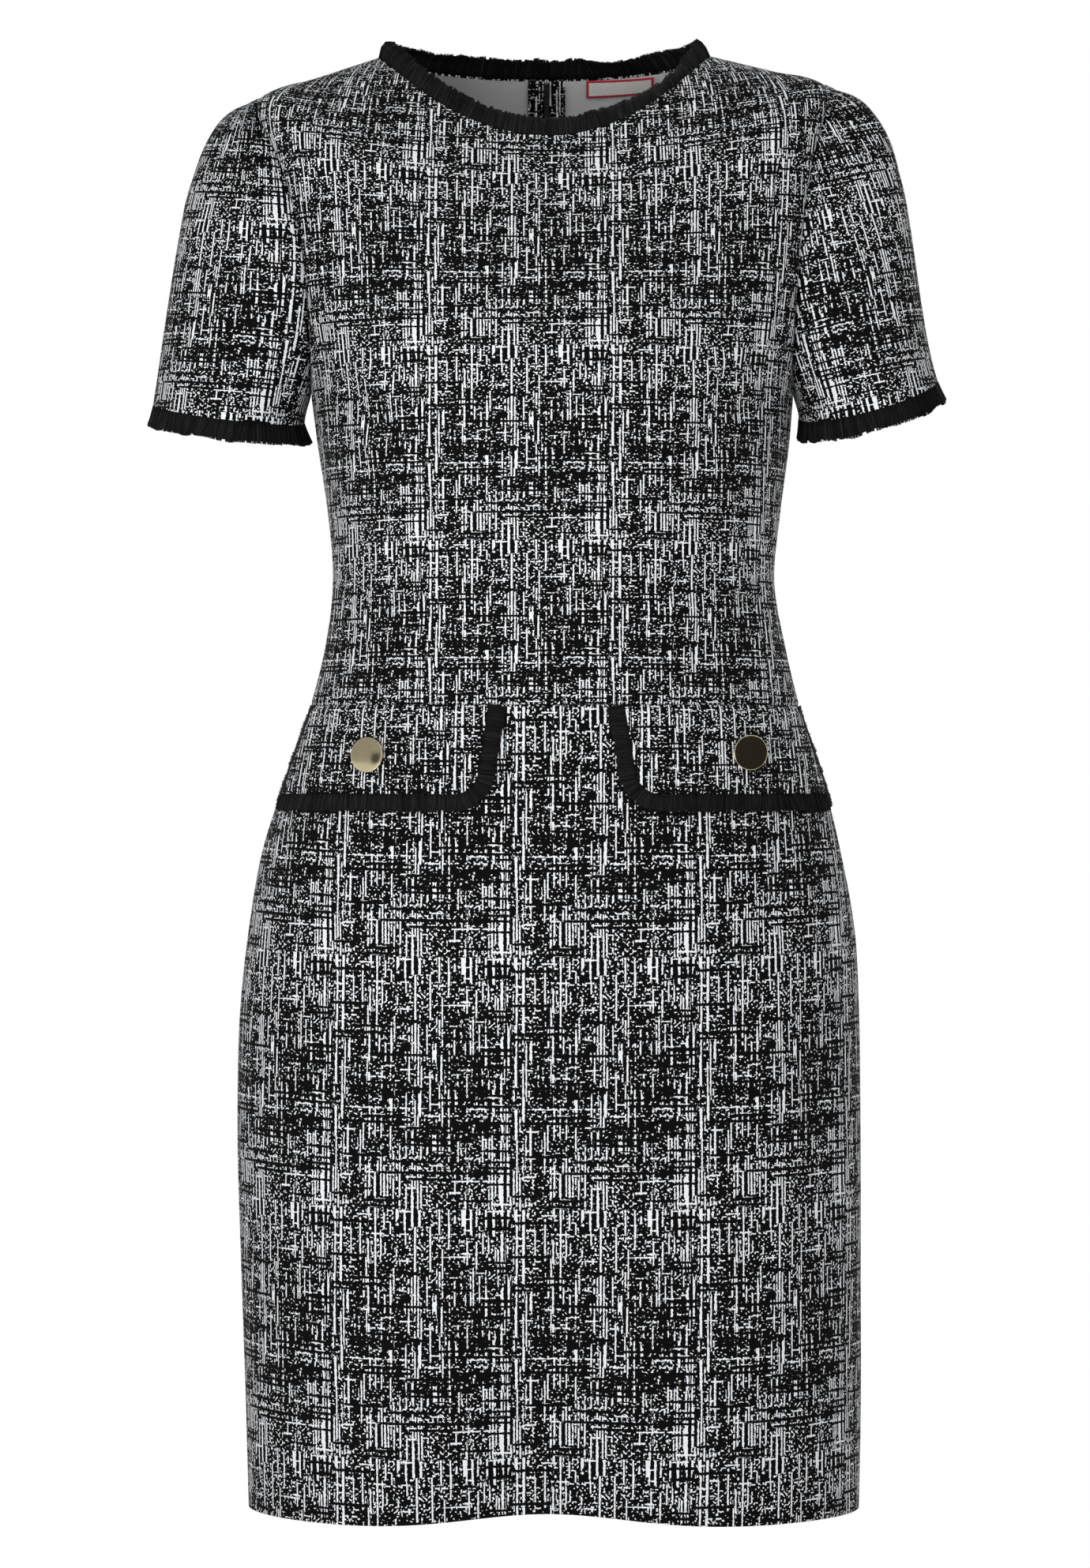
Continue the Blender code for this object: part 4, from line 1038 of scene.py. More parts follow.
class SleeveSurface:
    """A sleeve's outer face, lofted from its armhole to its cuff."""

    leave_underarm = (0.30, -0.30, -0.95)  # how it leaves the underarm and the tip: out, along Y in front, up
    leave_tip = (0.96, -0.30, -0.17)
    arrive_inner = 0.02  # how far its inner side leans out as it arrives, and its front and back lean apart
    arrive_ahead = -0.05
    mean_radius = 56.0

    def __init__(self, body: Body, cuff: Cuff) -> None:
        """Joins a body's armhole to a cuff."""
        self.body, self.cuff = body, cuff
        sign = cuff.side.value
        across = unit(np.array([sign * (cuff.outer_x - cuff.inner_x), 0.0, cuff.outer_z - cuff.inner_z]))
        self.axis = np.array([across[2] * sign, 0.0, -across[0] * sign])
        self.axis = self.axis * (1 if self.axis[2] > 0 else -1)
        self.across = across
        self.centre = np.array([sign * (cuff.outer_x + cuff.inner_x) / 2, 0.0, (cuff.outer_z + cuff.inner_z) / 2])

    def at(self, psi: Array, along: Array) -> Array:
        """Points of the outer face: a cubic from the armhole, at 0 along, to the cuff, at 1."""
        psi, along = even(psi, along)
        cuff, sign = self.cuff, self.cuff.side.value
        start = self.body.at(*self.body.armhole(cuff.side, psi))
        turn, ahead = np.cos(psi), np.sin(psi)
        out = (cuff.outer_x + cuff.inner_x) / 2 - (cuff.outer_x - cuff.inner_x) / 2 * turn
        up = (cuff.outer_z + cuff.inner_z) / 2 - (cuff.outer_z - cuff.inner_z) / 2 * turn
        end = np.stack([sign * out, -cuff.depth * ahead, up - cuff.dip * ahead], axis=-1)
        high = (1 - turn) / 2
        aims = [low + (tip - low) * high for low, tip in zip(self.leave_underarm, self.leave_tip)]
        leave = np.stack([sign * aims[0], aims[1] * ahead, aims[2]], axis=-1)
        flare = cuff.flare * high + self.arrive_inner * (1 - high)
        arrive = np.stack([sign * flare, self.arrive_ahead * ahead, -np.ones_like(high)], axis=-1)
        chord = np.linalg.norm(end - start, axis=-1, keepdims=True)
        u = along[..., None]
        leaving = u * (1 - u) ** 2 * unit(leave) * chord * cuff.cap
        arriving = u * u * (1 - u) * unit(arrive) * chord * cuff.reach
        return start + (3 - 2 * u) * u * u * (end - start) + leaving - arriving

    def normal(self, psi: Array, along: Array) -> Array:
        """Outward normals, from two short steps on the surface."""
        psi, along = even(psi, along)
        turn, step = math.radians(0.5), 0.004
        around = self.at(psi + turn, along) - self.at(psi - turn, along)
        down = self.at(psi, np.minimum(along + step, 1)) - self.at(psi, np.maximum(along - step, 0))
        return unit(np.cross(down, around)) * self.cuff.side.value

    def cloth(self, points: Array) -> Array:
        """(u, v) on the flat sleeve: the angle about its axis times its mean radius, and the run down the axis."""
        away = points - self.centre
        along = away @ self.axis
        out, ahead = away @ self.across, -away[..., 1]
        angle = np.arctan2(ahead, out)
        return np.stack([angle * self.mean_radius, along], axis=-1)

    def height(self, uv: Array) -> Array:
        """The folds' height at a place on the flat sleeve."""
        u, v = uv[..., 0], uv[..., 1]
        total = sum(fold.rise(u, v) for fold in self.cuff.folds)
        return total + 0.3 * np.sin(u / 17.0 + v / 23.0) + 0.25 * np.sin(u / 11.0 - v / 31.0)

    def seam(self, psi: Array) -> tuple[Array, Array, Array]:
        """(points, mitre, across) along the armhole's seam. across points from the body to the sleeve."""
        side = self.cuff.side
        theta, level = self.body.armhole(side, psi)
        points = self.body.at(theta, level)
        later, sooner = self.body.armhole(side, psi + 0.01), self.body.armhole(side, psi - 0.01)
        along = unit(self.body.at(*later) - self.body.at(*sooner))
        on_body, on_sleeve = self.body.normal(theta, level), self.normal(psi, np.zeros_like(psi))
        mitre = on_body + on_sleeve
        mitre = unit(mitre - (mitre * along).sum(-1, keepdims=True) * along)
        into_sleeve = unit(self.at(psi, 0.02) - points)
        into_body = np.cross(on_body, along)
        middle = self.body.at(0.0 if side is Side.LEFT else math.pi, (UNDERARM + SHOULDER_TIP) / 2)
        away = ((points - middle) * into_body).sum(-1, keepdims=True)
        across = unit(np.cross(along, mitre))
        turned = ((into_sleeve - into_body * np.sign(away)) * across).sum(-1, keepdims=True)
        lean = np.maximum((mitre * on_body).sum(-1, keepdims=True), 0.5)
        return points, mitre / lean, across * np.sign(turned)


def ease(body: Body, points: Array, amount: float) -> Array:
    """How far cloth near a shoulder tip lies inside the body's ring: nothing at the tip, an amount from 6 mm on."""
    total = np.zeros(points.shape[:-1])
    for side in Side:
        theta, level = body.armhole(side, np.array([math.pi]))
        away = np.linalg.norm(points - body.at(theta, level), axis=-1)
        total += (1 - np.exp(-((away / 3.0) ** 2))) * np.exp(-((np.maximum(away - 6.0, 0) / 13.0) ** 2))
    return total * amount


def groove(distance: Array, depth: float, width: float = 2.2) -> Array:
    """How far cloth sinks beside a seam: depth * exp(-(distance / width)^2)."""
    return depth * np.exp(-((distance / width) ** 2))


def reach(points: Array, line: Array) -> Array:
    """How far each point lies from the nearest point of a line."""
    flat = points.reshape(-1, 3)
    square = (flat**2).sum(-1)[:, None] + (line**2).sum(-1) - 2 * flat @ line.T
    return np.sqrt(np.maximum(square.min(axis=1), 0.0)).reshape(points.shape[:-1])


def pull(points: Array, edge: Index, beside: Index, amount: Array | float) -> None:
    """Moves a line of points towards the line beside it, square to its own run, by an amount."""
    line = points[edge]
    run = unit(np.gradient(line, axis=0))
    way = points[beside] - line
    way = unit(way - (way * run).sum(-1, keepdims=True) * run)
    points[edge] = line + way * np.broadcast_to(amount, len(line))[:, None]


# ---------------------------------------------------------------------------------------------------------
# The dress


@dataclass
class Wardrobe:
    """What the sub-assemblies share: the draped surface, the sleeves, and one material for each finish."""

    drape: Drape
    sleeves: dict[Side, SleeveSurface]
    print_cloth: bpy.types.Material
    reverse: bpy.types.Material
    yarn: bpy.types.Material
    gold: bpy.types.Material
    tape: bpy.types.Material
    coil: bpy.types.Material
    slider: bpy.types.Material

    @property
    def body(self) -> Body:
        """The surface without its folds."""
        return self.drape.body


def surface_area(shape: Shape) -> float:
    """Half the surface of a closed wall, in square metres."""
    total = 0.0
    for group in shape.faces:
        corners = shape.points[group] * MM
        for k in range(1, group.shape[1] - 1):
            cross = np.cross(corners[:, k] - corners[:, 0], corners[:, k + 1] - corners[:, 0])
            total += 0.5 * float(np.linalg.norm(cross, axis=-1).sum())
    return total / 2


@dataclass
class Panel:
    """One cut piece of the body, between two of its seams."""

    name: str
    face: Face
    start: Edge
    stop: Edge
    columns: int
    levels: Array
    psi: Array
    on_bodice: bool
    phase_u: float  # where its print starts, across and along
    phase_v: float
    stretch: float  # how much the print is stretched along the panel
    neck_turn: float = 1.6  # how far the print goes over the neck's edge
    zip_top_open: float = 1.3  # how far each half stands off the middle at the top of the zip
    zip_top_tall: float = 14.0
    eased: float = 2.9  # how far the cloth beside a shoulder tip lies inside the body's ring

    def ends(self, body: Body, edge: Edge) -> Array:
        """The angle at which each row ends at one edge."""
        face = self.face.value
        if edge is Edge.MIDDLE:
            return np.full(len(self.levels), -math.pi / 2)
        opened = body.armhole(Side(edge.value), np.nan_to_num(self.psi) * face)[0]
        return opened if edge is Edge.LEFT or face > 0 else opened - 2 * math.pi

    def shares(self, body: Body) -> Array:
        """Where the columns lie between the two edges' angles, so that they are even along the middle row."""
        first, last = self.ends(body, self.start), self.ends(body, self.stop)
        middle = len(self.levels) // 2
        fine = np.linspace(0, 1, 4001)
        line = body.at(first[middle] + (last - first)[middle] * fine, self.levels[middle])
        run = run_length(line)
        return np.interp(dense_ends(self.columns, 0.55), run / run[-1], fine)

    def grid(self, shared: Wardrobe) -> tuple[Array, Array, Array, Array]:
        """(outer points, wall directions, angles, levels): the draped surface, sunk along its seams."""
        body, drape = shared.body, shared.drape
        first, last = self.ends(body, self.start), self.ends(body, self.stop)
        theta = first[:, None] + (last - first)[:, None] * self.shares(body)
        level = np.broadcast_to(self.levels[:, None], theta.shape)
        flat, out = body.at(theta, level), body.normal(theta, level)
        direction = out.copy()
        sewn = [k for k, edge in ((0, self.start), (-1, self.stop)) if edge is not Edge.MIDDLE]
        to_sides = {k: reach(flat, flat[:, k]) for k in sewn}
        to_waist = reach(flat, flat[0 if self.on_bodice else -1])
        height = drape.height(theta, level)
        if self.on_bodice:
            height = height * smooth_step(np.minimum.reduce(list(to_sides.values())) / 15.0)
        if Edge.MIDDLE in (self.start, self.stop):
            to_middle = reach(flat, flat[:, -1 if self.stop is Edge.MIDDLE else 0])
            height = height - groove(to_middle, SEAM_SINK * 0.7)
        sunk = groove(to_waist, SEAM_SINK) + sum(groove(away, SEAM_SINK) for away in to_sides.values())
        eased = ease(body, flat, self.eased) if self.on_bodice else 0.0
        points = flat + out * (height - np.minimum(sunk, SEAM_SINK) - eased)[..., None]
        rows = np.flatnonzero(~np.isnan(self.psi))
        for column, edge in ((0, self.start), (-1, self.stop)):
            beside = column + 1 if column == 0 else column - 1
            gap = np.where(np.isnan(self.psi), SEAM_GAP / 2, 0.0) if edge is not Edge.MIDDLE else self.middle_gap()
            pull(points, np.s_[:, column], np.s_[:, beside], gap)
            if edge is Edge.MIDDLE or not len(rows):
                continue
            sleeve = shared.sleeves[Side(edge.value)]
            seam, mitre, across = sleeve.seam(self.psi[rows] * self.face.value)
            points[rows, column] = seam - across * SEAM_GAP / 2 - mitre * SEAM_SINK
            for row in (rows[0], rows[-1]):
                points[row, column, 1] -= self.face.value * SEAM_GAP / 2
            blend = np.exp(-((to_sides[column][rows] / 4.0) ** 2))[..., None]
            direction[rows] += (mitre[:, None] - out[rows]) * blend
        edge, beside = (0, 1) if self.on_bodice else (-1, -2)
        pull(points, np.s_[edge], np.s_[beside], SEAM_GAP / 2)
        return points, direction, theta, level

    def middle_gap(self) -> Array:
        """How far the middle of the back stands open on this half, row by row."""
        gap = np.full(len(self.levels), SEAM_GAP / 2)
        if self.on_bodice:
            near_top = np.clip((self.levels - (NECK - self.zip_top_tall)) / self.zip_top_tall, 0, 1)
            gap = gap + (self.zip_top_open - SEAM_GAP / 2) * near_top**2
        return gap

    def build(self, shared: Wardrobe) -> bpy.types.Object:
        """Makes the panel."""
        points, direction, theta, level = self.grid(shared)
        u, v = shared.drape.maps[self.face].read(theta, level)
        uv = np.stack([u + self.phase_u, (v + self.phase_v) / self.stretch], axis=-1)
        inner = points - direction * CLOTH
        from_neck = reach(points, points[-1])
        turned = (from_neck[:-1, :-1] < self.neck_turn) & self.on_bodice
        middle_first, middle_last = self.start is Edge.MIDDLE, self.stop is Edge.MIDDLE
        free = Free(low=not self.on_bodice, high=self.on_bodice, first=middle_first, last=middle_last)
        shape = wall(points, inner, uv, free=free, printed_inside=turned)
        piece = shape.piece(f"{self.name}_cloth", (shared.print_cloth, shared.reverse), "jersey")
        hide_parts(self.name)
        LOG.info("%s: %.4f m2", piece.name, surface_area(shape))
        return piece


PANEL_PLACES = (  # name, face, first edge, last edge, columns, share of the whole cut, shift of the print
    ("front", Face.FRONT, Edge.LEFT, Edge.RIGHT, 150, 1.0, (0.0, 0.0)),
    ("back_left", Face.BACK, Edge.LEFT, Edge.MIDDLE, 76, 0.5, BACK_PHASE),
    ("back_right", Face.BACK, Edge.RIGHT, Edge.MIDDLE, 76, 0.5, BACK_PHASE),
)


def build_panels(shared: Wardrobe, stem: str, rows: tuple[Array, Array],
                 phase: tuple[float, float, float]) -> None:
    """Makes the front and the two back halves of the bodice or the skirt.

    Args:
        shared: The surfaces and finishes.
        stem: The first word of the panels' names.
        rows: The levels of the rows, and the place of each on the armhole, which is nan beside none.
        phase: Where the print starts, in millimetres across and along, and how far it is stretched.
    """
    for place, face, start, stop, columns, share, shift in PANEL_PLACES:
        panel = Panel(f"{stem}_{place}", face, start, stop, columns, *rows, stem == "bodice",
                      phase[0] + shift[0], phase[1] + shift[1], phase[2])
        panel.build(shared)


@dataclass
class Bodice:
    """The front and the two back halves of the bodice."""

    below_rows: int = 80
    armhole_rows: int = 90
    shoulder_rows: int = 34
    phase_u: float = -40.0
    phase_v: float = -232.0

    def rows(self) -> tuple[Array, Array]:
        """(levels, psi) of the rows. psi is nan where a row meets no armhole."""
        psi = np.linspace(0.0, math.pi, self.armhole_rows + 1)
        below = (WAIST_SEAM + (UNDERARM - WAIST_SEAM) * dense_ends(self.below_rows, 0.6))[:-1]
        beside = UNDERARM + (SHOULDER_TIP - UNDERARM) * (1 - np.cos(psi)) / 2
        above = (SHOULDER_TIP + (NECK - SHOULDER_TIP) * dense_ends(self.shoulder_rows, 0.4))[1:]
        level = np.concatenate([below, beside, above])
        return level, np.concatenate([np.full(len(below), np.nan), psi, np.full(len(above), np.nan)])

    def build(self, shared: Wardrobe) -> None:
        """Makes the three panels."""
        build_panels(shared, "bodice", self.rows(), (self.phase_u, self.phase_v, 1.0))


@dataclass
class Skirt:
    """The front and the two back halves of the skirt, and the turn of their hem."""

    rows_count: int = 176
    phase_u: float = 22.0
    phase_v: float = 324.0
    stretch: float = 1.28
    turn_tall: float = 28.0
    turn_gap: float = 0.15
    turn_thick: float = 0.85
    turn_columns: int = 200

    def build(self, shared: Wardrobe) -> None:
        """Makes the three panels and the turn."""
        level = HEM + (WAIST_SEAM - HEM) * dense_ends(self.rows_count, 0.6)
        rows = (level, np.full(len(level), np.nan))
        turn = self.build_turn(shared)
        build_panels(shared, "skirt", rows, (self.phase_u, self.phase_v, self.stretch))

    def build_turn(self, shared: Wardrobe) -> bpy.types.Object:
        """Makes the hem's turn: a ring of the same cloth inside it, with its printed side to the wearer."""
        theta = np.linspace(-math.pi, math.pi, self.turn_columns, endpoint=False)
        level = (HEM + 0.5 + self.turn_tall * np.linspace(0, 1, 9))[:, None]
        theta, level = np.broadcast_arrays(theta[None], level)
        points, out = shared.drape.at(theta, level), shared.body.normal(theta, level)
        length = run_length(np.concatenate([points, points[:, :1]], axis=1), axis=1)
        rise = np.broadcast_to(run_length(points, axis=0)[:, :1], (len(points), 1))
        uv = np.stack([length, np.broadcast_to(-rise, length.shape) / self.stretch], axis=-1)
        near = points - out * (CLOTH + self.turn_gap)
        shape = wall(near - out * self.turn_thick, near, uv, ring=True, free=Free(low=True, high=True))
        return shape.piece("hem_turn", (shared.print_cloth, shared.reverse), "jersey")


@dataclass
class Sleeve:
    """One short set-in sleeve."""

    side: Side
    columns: int = 120
    rows: int = 72
    cuff_turn: float = 12.0  # how far the printed side goes up inside the cuff
    eased: float = 2.0  # how far the cloth beside the shoulder tip lies inside the sleeve's own surface

    def build(self, shared: Wardrobe) -> None:
        """Makes the sleeve: a ring of cloth from its armhole to its cuff."""
        surface = shared.sleeves[self.side]
        psi = np.linspace(0.0, 2 * math.pi, self.columns, endpoint=False)
        psi = np.where(psi > math.pi, psi - 2 * math.pi, psi)
        along = dense_ends(self.rows, 0.5)[:, None] * CUFF_AT
        flat, out = surface.at(psi, along), surface.normal(psi, along)
        cloth = surface.cloth(flat)
        angle = np.unwrap(cloth[..., 0] / surface.mean_radius, axis=1)
        middle = angle[:, [self.columns // 2]]
        angle = (angle - 2 * math.pi * np.round(middle / (2 * math.pi))) * surface.mean_radius
        end = 2 * math.pi * surface.mean_radius
        sign = np.sign(angle[:, [0]])
        uv = np.stack([angle, cloth[..., 1]], axis=-1)
        close = np.stack([angle[:, [0]] - sign * end, cloth[:, [0], 1]], axis=-1)
        seam, mitre, across = surface.seam(psi)
        to_seam = reach(flat, seam)
        to_cut = np.minimum(np.abs(angle - angle[:, [0]]), end - np.abs(angle - angle[:, [0]]))
        fade = smooth_step(to_seam / 14.0) * smooth_step(to_cut / 12.0)
        height = surface.height(uv) * fade - groove(to_seam, SEAM_SINK)
        height = height - groove(to_cut, SEAM_SINK * 0.6) * smooth_step(to_seam / 4.0)
        points = flat + out * (height - ease(surface.body, flat, self.eased))[..., None]
        direction = out + (mitre[None] - out) * np.exp(-((to_seam / 4.0) ** 2))[..., None]
        points[0] = seam + across * SEAM_GAP / 2 - mitre * SEAM_SINK
        inner = points - direction * CLOTH
        from_cuff = reach(points, points[-1])
        printed = from_cuff[:-1] < self.cuff_turn
        shape = wall(points, inner, np.concatenate([uv, close], axis=1), ring=True, free=Free(high=True),
                     printed_inside=printed)
        piece = shape.piece(f"sleeve_{self.side.word}_cloth", (shared.print_cloth, shared.reverse), "jersey")
        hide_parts(f"sleeve_{self.side.word}")
        LOG.info("%s: %.4f m2", piece.name, surface_area(shape))


# ---------------------------------------------------------------------------------------------------------
# Fringe


@dataclass(frozen=True)
class Edging:
    """A line that yarns hang from: rows of points, outward directions, the yarns' ways, and how far they bow out."""

    edge: Array
    out: Array
    way: Array
    closed: bool
    bow: Array

    def whole(self, part: Array) -> Array:
        """One of its arrays, with the first row again at the end where the line is closed."""
        return np.concatenate([part, part[:1]]) if self.closed else part


@dataclass(frozen=True)
class Fringe:
    """Soft yarn fringe: thousands of short tapered strands in tufts, over a dark core."""

    length: float = 13.9
    uneven: float = 0.009  # how the length differs from strand to strand, as a share of it
    per_mm: float = 6.5  # strands
    radius: float = 0.27
    tuft: float = 5.6  # how wide a tuft is
    thick: float = 1.5
    points: int = 4  # rings along a strand
    gather: float = 0.12  # how far a tuft's strands draw in, and how much tufts differ in it
    fanned: float = 0.14
    lean: float = 0.9  # how far a tuft's tips lean to a side
    wave: float = 0.6  # how far the edge of the tips rises, falls and sways
    core_share: float = 0.93  # of the length
    core_half: float = 0.35  # half the core's thickness
    core_step: float = 1.6

    def stations(self, line: Edging) -> Array:
        """Each point's position along the line: the mean of the roots' run and the tips'."""
        root = line.whole(line.edge)
        tip = root + line.whole(line.way) * self.length
        step = [np.linalg.norm(np.diff(part, axis=0), axis=-1) for part in (root, tip)]
        return np.concatenate([[0.0], np.cumsum((step[0] + step[1]) / 2)])

    def read(self, line: Edging, run: Array, at: Array) -> tuple[Array, Array, Array, Array, Array]:
        """(root, out, way, along, bow) at positions on the line."""
        parts = (line.edge, line.out, line.way, line.bow[:, None])
        found = [np.stack([np.interp(at, run, column) for column in line.whole(part).T], axis=-1) for part in parts]
        root, out, way = found[0], unit(found[1]), unit(found[2])
        return root, out, way, unit(np.cross(out, way)), found[3]

    def strands(self, line: Edging, seed: int) -> tuple[Array, Array, Array, Array, Array, Array]:
        """The strands' courses: (root, out, way, along, offsets along the three directions, t from root to tip).

        A strand starts at a random depth of the trim. Each tuft leans its own way, fans out or draws in and is
        cut at its own slant, and the strands bow out and bend a little, all by powers of t.
        """
        draw = np.random.default_rng(seed)
        run = self.stations(line)
        total = run[-1]
        count = int(total * self.per_mm)
        at = (np.arange(count) + draw.uniform(0, 1, count)) / count * total
        root, out, way, along, bow = self.read(line, run, at)
        tufts = max(1, round(total / self.tuft))
        uneven = 0.9 * np.sin(at / total * tufts * 1.7 + seed) + draw.normal(0, 0.05, count)
        tuft = np.floor(at / total * tufts + uneven * 0.35).astype(int)
        tuft = tuft % tufts if line.closed else np.clip(tuft, 0, tufts - 1)
        middle = (tuft + 0.5) / tufts * total
        gather = (middle - at + total / 2) % total - total / 2 if line.closed else middle - at
        lean, reach, fan, cut, stand = draw.normal(0, 1, (5, tufts))[:, tuft].clip(-1.8, 1.8)
        t = np.linspace(0, 1, self.points)
        size = self.length * (1 + 0.016 * reach + draw.normal(0, self.uneven, count).clip(-0.05, 0.04))
        size = size + 0.10 * cut * gather + self.wave * 0.55 * self.slow(at, seed)
        ahead = size[:, None] * t
        aside = (gather * (self.gather + self.fanned * fan))[:, None] * t**1.3
        aside = aside + (self.lean * lean + draw.normal(0, 0.14, count))[:, None] * t**1.5
        aside = aside + self.wave * (np.sin(at / 9.7 + 3 * seed) + np.sin(at / 5.7 + seed))[:, None] * t**1.5
        deep = draw.uniform(-0.5, 0.5, count)[:, None] * self.thick * (1 + 0.25 * t)
        deep = deep + (0.3 * stand + draw.normal(0, 0.2, count))[:, None] * t**2 + bow * np.sin(math.pi * t)
        return root, out, way, along, np.stack([ahead, aside, deep], axis=-1), t

    @staticmethod
    def slow(at: Array, seed: int) -> Array:
        """A slow rise and fall of the trim's length along its line."""
        return np.sin(at / 8.3 + seed) + 0.8 * np.sin(at / 4.9 + 2 * seed)

    def yarns(self, lines: Array, t: Array) -> Shape:
        """Three-sided tubes round the strands' courses, a little thinner to the tip, which is a short point."""
        count, points = lines.shape[:2]
        run = unit(np.gradient(lines, axis=1))
        first = unit(np.cross(run, np.roll(run[:, :1], 1, axis=-1) + np.array([0.13, 0.31, 0.07])))
        second = np.cross(run, first)
        turn = np.arange(3) * 2 * math.pi / 3
        radius = self.radius * (1 - 0.15 * t)
        ring = np.cos(turn)[:, None] * first[:, :, None] + np.sin(turn)[:, None] * second[:, :, None]
        tube = lines[:, :, None] + ring * radius[None, :, None, None]
        tip = lines[:, -1] + run[:, -1] * self.radius * 1.6
        per = points * 3 + 1
        vertices = np.concatenate([tube.reshape(count, -1, 3), tip[:, None]], axis=1)
        k, s = (part.ravel() for part in np.meshgrid(np.arange(points - 1), np.arange(3), indexing="ij"))
        side = np.stack([k * 3 + s, k * 3 + (s + 1) % 3, (k + 1) * 3 + (s + 1) % 3, (k + 1) * 3 + s], axis=1)
        last = (points - 1) * 3
        cap = np.array([[last, last + 1, per - 1], [last + 1, last + 2, per - 1], [last + 2, last, per - 1], [2, 1, 0]])
        base = (np.arange(count) * per)[:, None, None]
        number = np.arange(count) * 10.0 + 5.0
        height = np.concatenate([np.repeat(t, 3), [1.05]]) * 1000.0
        uv = np.stack(np.broadcast_arrays(number[:, None], height), axis=-1)
        faces = [(base + side).reshape(-1, 4), (base + cap).reshape(-1, 3)]
        return Shape(vertices.reshape(-1, 3), faces, uv.reshape(-1, 2), turn_outwards=False)

    def core(self, line: Edging, seed: int, lay: Lay) -> Shape:
        """The trim's heading and its inner strands: one thin closed strip up to a share of the length."""
        run = self.stations(line)
        at = np.linspace(0, run[-1], max(60, int(run[-1] / self.core_step)))
        if line.closed:
            at = at[:-1]
        root, out, way, along, bow = self.read(line, run, at)
        share = np.linspace(0, self.core_share, 5)
        size = self.length + self.wave * 0.55 * self.slow(at, seed) + 0.25 * np.sin(at * 2.9) * np.sin(at * 1.3)
        faces = []
        for half in (self.core_half, -self.core_half):
            deep = half + bow * np.sin(math.pi * share)
            offset = np.stack(np.broadcast_arrays(size[:, None] * share, 0.0, deep), axis=-1)
            faces.append(lay(root, out, way, along, offset).transpose(1, 0, 2))
        wide = len(at) + (1 if line.closed else 0)
        uv = np.stack(np.broadcast_arrays(np.full(wide, 5.0), share[:, None] * 1000), axis=-1)
        return wall(faces[0], faces[1], uv, ring=line.closed)

    def build(self, name: str, line: Edging, seed: int, shared: Wardrobe,
              lay: Lay | None = None) -> bpy.types.Object:
        """Makes the fringe of one edge.

        Args:
            name: The frame's node that it stands for.
            line: The edge.
            seed: Number that its chances are drawn from.
            shared: The finishes.
            lay: Turns roots, directions and offsets into points. Straight from the root where it is not given.

        Returns:
            The piece.
        """
        lay = lay or self.straight
        root, out, way, along, offset, t = self.strands(line, seed)
        yarns = self.yarns(lay(root, out, way, along, offset), t)
        core = self.core(line, seed, lay)
        faces = yarns.faces + [group + len(yarns.points) for group in core.faces]
        uv_faces = yarns.faces + [group + len(yarns.uv) for group in core.uv_faces]
        uv = np.concatenate([yarns.uv, core.uv])
        both = Shape(np.concatenate([yarns.points, core.points]), faces, uv, uv_faces)
        piece = both.piece(name + "_yarn", (shared.yarn,), "fringe")
        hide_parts(name)
        return piece

    @staticmethod
    def straight(root: Array, out: Array, way: Array, along: Array, offset: Array) -> Array:
        """root + way * a + along * b + out * c for each offset (a, b, c)."""
        a, b, c = (offset[..., k, None] for k in range(3))
        return root[:, None] + way[:, None] * a + along[:, None] * b + out[:, None] * c


